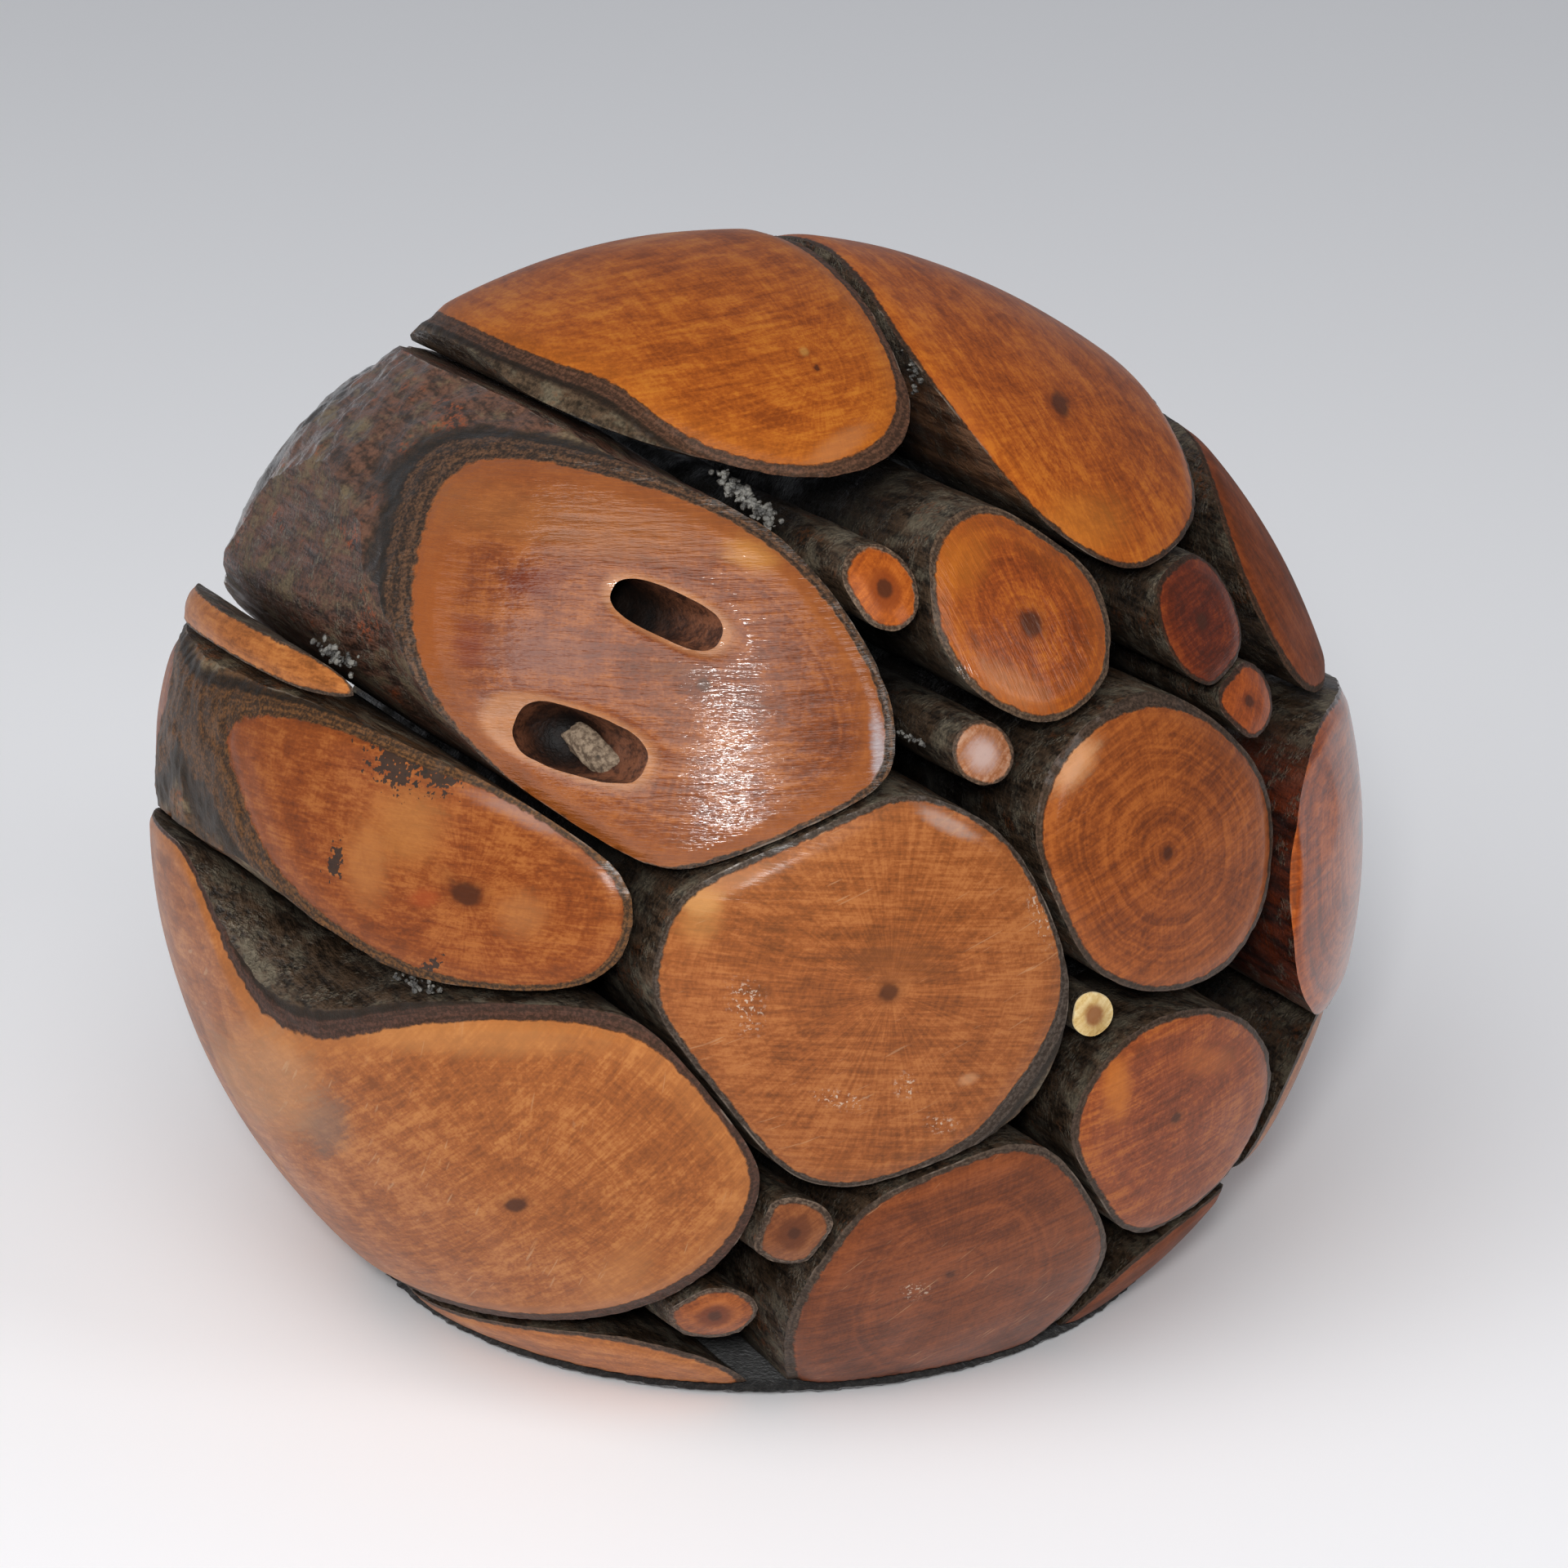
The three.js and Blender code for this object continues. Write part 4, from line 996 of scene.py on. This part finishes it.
def felt_material():
    """Black wool felt, pressed: no gloss, fuzzy, a little dust in it."""
    plain = {"Roughness": 0.95, "Sheen Weight": 0.4, "Sheen Roughness": 0.5}
    material, tree, shader = new_material("pressed black wool felt", plain)
    place = in_mm(tree)
    fuzz = lumps_of(tree, place, 0.38)
    fluffed = add(tree, "MapRange", [fuzz, 0.4, 0.75], **SMOOTH)
    colour = add(tree, "Mix", {0: fluffed, 6: linear("#0c0b0a"), 7: linear("#2b2926")}, **COLOUR)
    dress(tree, shader, colour, None, fuzz, 0.15)
    return material


def glue_material():
    """Old glue and varnish that dried in lumps: grey-white, half clear, glossy in spots."""
    plain = {"Roughness": 0.4, "Subsurface Weight": 0.15, "Subsurface Radius": (0.001, 0.0008, 0.0006),
             "Subsurface Scale": 0.5}
    material, tree, shader = new_material("dried glue crumbs", plain)
    place = in_mm(tree)
    lumps = lumps_of(tree, place, 0.7)
    milky = add(tree, "MapRange", [lumps, 0.42, 0.64], **SMOOTH)
    colour = add(tree, "Mix", {0: milky, 6: linear("#2f2c28"), 7: linear("#716e67")}, **COLOUR)
    dress(tree, shader, colour, None, lumps_of(tree, place, 0.2), 0.1)
    return material


def dust_material():
    """Pressed frass and dust: grey-beige, dull and crumbly, with dark pits."""
    material, tree, shader = new_material("pressed gallery dust", {"Roughness": 0.85})
    place = in_mm(tree)
    grit = lumps_of(tree, place, 0.38, 4.0)
    gritty = add(tree, "MapRange", [grit, 0.38, 0.62], **SMOOTH)
    colour = add(tree, "Mix", {0: gritty, 6: linear("#574636"), 7: linear("#8a7762")}, **COLOUR)
    pitted = add(tree, "MapRange", [lumps_of(tree, place, 1.1, 2.0), 0.3, 0.38, 0.8, 0.0], **SMOOTH)
    colour = add(tree, "Mix", {0: pitted, 6: colour, 7: linear("#1d1711")}, **COLOUR)
    dress(tree, shader, colour, None, grit, 0.15)
    return material


# The pieces

def make_branch(name, branch, seed, gnawed):
    points, triangles = bar_points(branch, seed)
    bar = object_from(name + "_wood", mesh_from(name, points, triangles))
    bar.data.materials.append(bark_material(name, branch, seed))
    cut = mesh_from("cutting ball", cut_ball(branch, seed), BALL_TRIANGLES)
    ball = object_from("cutting ball", cut)
    ball.data.materials.append(cut_wood_material(name, branch, seed))
    boolean(bar, ball, "INTERSECT")
    if name == "galleried_branch":
        for number, gallery in enumerate(GALLERIES):
            bore = object_from("bore", bore_mesh("bore", gallery, 70 + number))
            bore.data.materials.append(gnawed)
            boolean(bar, bore, "DIFFERENCE")
    measure_wood(bar.data, branch)
    bar.data.shade_smooth()
    bar.data.set_sharp_from_angle(angle=math.radians(42))
    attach(bar, "root")
    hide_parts(name)


# The felt disc in millimetres, and its edge as heights and shares of its radius
FELT_THICK, FELT_FUZZ, FELT_FUZZ_CELL = 0.8, 0.3, 1.3
FELT_EDGE = [(0.0, 0.97), (0.12, 1.0), (0.4, 1.012), (0.68, 1.0), (FELT_THICK, 0.97)]
FELT_SIDES = 720


def make_felt_pad():
    low, high = (np.array(corner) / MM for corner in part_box("felt_pad"))
    middle, half = (low + high) / 2, (high - low) / 2
    angle = np.arange(FELT_SIDES) * 2 * np.pi / FELT_SIDES
    way = np.stack([np.cos(angle), np.sin(angle), np.zeros(FELT_SIDES)], axis=1)
    rows = []
    for level, (height, share) in enumerate(FELT_EDGE):
        fuzz = layered_noise(way * 60 + [0, 0, level * 7.0], FELT_FUZZ_CELL, 90 + level) * FELT_FUZZ
        row = middle + way * half * (share + fuzz / half[0])[:, None]
        row[:, 2] = height
        rows.append(row)
    ends = [[middle[0], middle[1], 0.0], [middle[0], middle[1], FELT_THICK]]
    faces = tube_faces(len(FELT_EDGE), FELT_SIDES)
    pad = object_from("felt_disc", mesh_from("felt_pad", np.concatenate([*rows, ends]), faces))
    pad.data.materials.append(felt_material())
    pad.data.shade_smooth()
    pad.data.set_sharp_from_angle(angle=math.radians(60))
    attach(pad, "root")
    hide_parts("felt_pad")


def lump_points(ball, middle, size, turn_axes, seed, rough):
    """Points of one lump: a small ball stretched along three axes and roughened."""
    shaped = ball * (1 + rough * layered_noise(ball, 0.7, seed))[:, None]
    return middle + (shaped * size) @ turn_axes


# Dried glue: from and to in the section, how many crumbs, how wide and how deep below the ball in mm
GLUE_RUNS = [
    ((-22.6, 73.9), (-17.7, 67.7), 130, 0.34, 0.9),
    ((-81.4, 47.4), (-79.4, 46.2), 60, 0.3, 0.7),
    ((17.1, 89.5), (14.1, 82.2), 44, 0.22, 0.6),
    ((-1.9, 21.0), (-4.8, 18.6), 30, 0.22, 0.6),
    ((18.7, 23.0), (21.5, 27.0), 16, 0.22, 0.5),
    ((-79.6, -3.0), (-75.7, -4.4), 26, 0.26, 0.6),
    ((-5.2, 36.5), (-0.6, 32.8), 16, 0.2, 3.2),
    ((-61.1, 29.7), (-69.3, 40.2), 26, 0.24, 2.2),
    ((-46.0, -2.0), (-41.0, -6.0), 26, 0.3, 1.6),
]
GLUE_SCATTER = 2.2


def make_glue():
    parts, faces, count = [], [], 0
    draws = np.random.default_rng(11)
    for start, end, lumps, wide, deep in GLUE_RUNS:
        for i in range(lumps):
            share = (i + draws.uniform(-0.3, 0.3)) / max(lumps - 1, 1)
            place = np.array(start) * (1 - share) + np.array(end) * share
            place += draws.normal(0, wide * GLUE_SCATTER, 2)
            point, outward = surface_point(*place)
            size = wide * draws.uniform(0.35, 1.0)
            size = size * np.array([1.0, draws.uniform(0.5, 1.0), draws.uniform(0.4, 0.8)])
            side = np.cross(outward, [0, 0, 1])
            side /= np.linalg.norm(side)
            spin = draws.uniform(0, 2 * np.pi)
            first = side * math.cos(spin) + np.cross(outward, side) * math.sin(spin)
            axes = np.stack([first, np.cross(outward, first), outward])
            middle = point - outward * (deep + draws.uniform(-0.2, 0.2))
            parts.append(lump_points(CRUMB_POINTS, middle, size, axes, 200 + i, 0.5))
            faces.append(CRUMB_TRIANGLES + count)
            count += len(CRUMB_POINTS)
    crumbs = mesh_from("dried_glue", np.concatenate(parts), np.concatenate(faces))
    glue = object_from("dried_glue", crumbs)
    glue.data.materials.append(glue_material())
    glue.data.shade_smooth()
    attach(glue, "root")


# The dust in the shallow gallery: place in the section; size, depth and shift in mm; tilt in degrees
DUST_AT, DUST_SIZE, DUST_DEPTH, DUST_SHIFT = (-53.4, 34.6), (2.9, 1.2, 0.6), 2.5, 1.0
DUST_TILT, DUST_ROUGHNESS, DUST_SEED = -30, 0.4, 321


def make_gallery_dust():
    """What the beetle left in the shallow gallery: a crumbly floor."""
    point, outward = surface_point(*DUST_AT)
    first = np.cross(outward, [0, 0, 1])
    first /= -np.linalg.norm(first)
    second = np.cross(outward, first)
    tilt = math.radians(DUST_TILT)
    along = first * math.cos(tilt) + second * math.sin(tilt)
    axes = np.stack([along, np.cross(outward, along), outward])
    middle = point - outward * DUST_DEPTH + first * DUST_SHIFT
    points = lump_points(LUMP_POINTS, middle, DUST_SIZE, axes, DUST_SEED, DUST_ROUGHNESS)
    dust = object_from("gallery_dust", mesh_from("gallery_dust", points, LUMP_TRIANGLES))
    dust.data.materials.append(dust_material())
    dust.data.shade_smooth()
    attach(dust, "root")


gnawed_wall = gallery_material()
make_glue()
make_gallery_dust()
for number, (branch_name, branch_facts) in enumerate(BRANCHES.items()):
    make_branch(branch_name, branch_facts, number + 1, gnawed_wall)
make_felt_pad()


# Floor, light and camera, in metres and watts
FLOOR_HALF = 4.0
LIGHT_AIM = Vector((0, 0, 0.03))
LIGHTS = {
    "key softbox": ((-0.12, -0.27, 0.41), (0.5, 0.42), 1.5),
    "front window": ((-0.03, -0.66, 0.38), (0.08, 0.08), 2.4),
    "right window": ((0.56, -0.36, 0.5), (0.22, 0.35), 0.9),
    "left fill": ((-0.75, -0.3, 0.35), (0.5, 0.5), 0.7),
}
ROOM_TONE, ROOM_LIGHT = "#d5dbe4", 0.34


def make_floor():
    """Pale seamless paper."""
    material = new_material("pale matt paper", {"Base Color": linear("#f6f5f6"), "Roughness": 0.9})[0]
    corners = np.array([[-1, -1, 0], [1, -1, 0], [1, 1, 0], [-1, 1, 0]]) * FLOOR_HALF / MM
    floor = object_from("floor", mesh_from("floor", corners, np.array([[0, 1, 2, 3]])))
    floor.data.materials.append(material)


def make_light(name, place, size, power):
    """A white softbox."""
    lamp = bpy.data.lights.new(name, "AREA")
    lamp.shape = "RECTANGLE"
    lamp.size, lamp.size_y = size
    lamp.energy = power
    softbox = bpy.data.objects.new(name, lamp)
    bpy.context.scene.collection.objects.link(softbox)
    softbox.location = place
    softbox.rotation_euler = (LIGHT_AIM - Vector(place)).to_track_quat("-Z", "Y").to_euler()


make_floor()
for light_name, (light_place, light_size, light_power) in LIGHTS.items():
    make_light(light_name, light_place, light_size, light_power)
world = bpy.data.worlds.new("pale room")
world.use_nodes = True
world.node_tree.nodes["Background"].inputs[0].default_value = linear(ROOM_TONE)
world.node_tree.nodes["Background"].inputs[1].default_value = ROOM_LIGHT
bpy.context.scene.world = world
bpy.context.scene.view_settings.view_transform = "Standard"

ELEVATION = math.radians(23)
CAMERA_DISTANCE = 510
PIXELS_PER_RADIAN = 8693.6
IMAGE_WIDTH = 1920
BALL_AT = (920, 1001)
SENSOR_WIDTH = 36
toward = np.array([0, -math.cos(ELEVATION), math.sin(ELEVATION)])
lens = bpy.data.cameras.new("camera")
lens.sensor_width = SENSOR_WIDTH
lens.lens = SENSOR_WIDTH * PIXELS_PER_RADIAN / IMAGE_WIDTH
lens.shift_x = (IMAGE_WIDTH / 2 - BALL_AT[0]) / IMAGE_WIDTH
lens.shift_y = (BALL_AT[1] - IMAGE_WIDTH / 2) / IMAGE_WIDTH
lens.clip_start, lens.clip_end = 0.01, 20
camera = bpy.data.objects.new("camera", lens)
bpy.context.scene.collection.objects.link(camera)
camera.location = Vector((BALL_CENTRE + toward * CAMERA_DISTANCE) * MM)
camera.rotation_euler = Vector(-toward).to_track_quat("-Z", "Y").to_euler()
bpy.context.scene.camera = camera
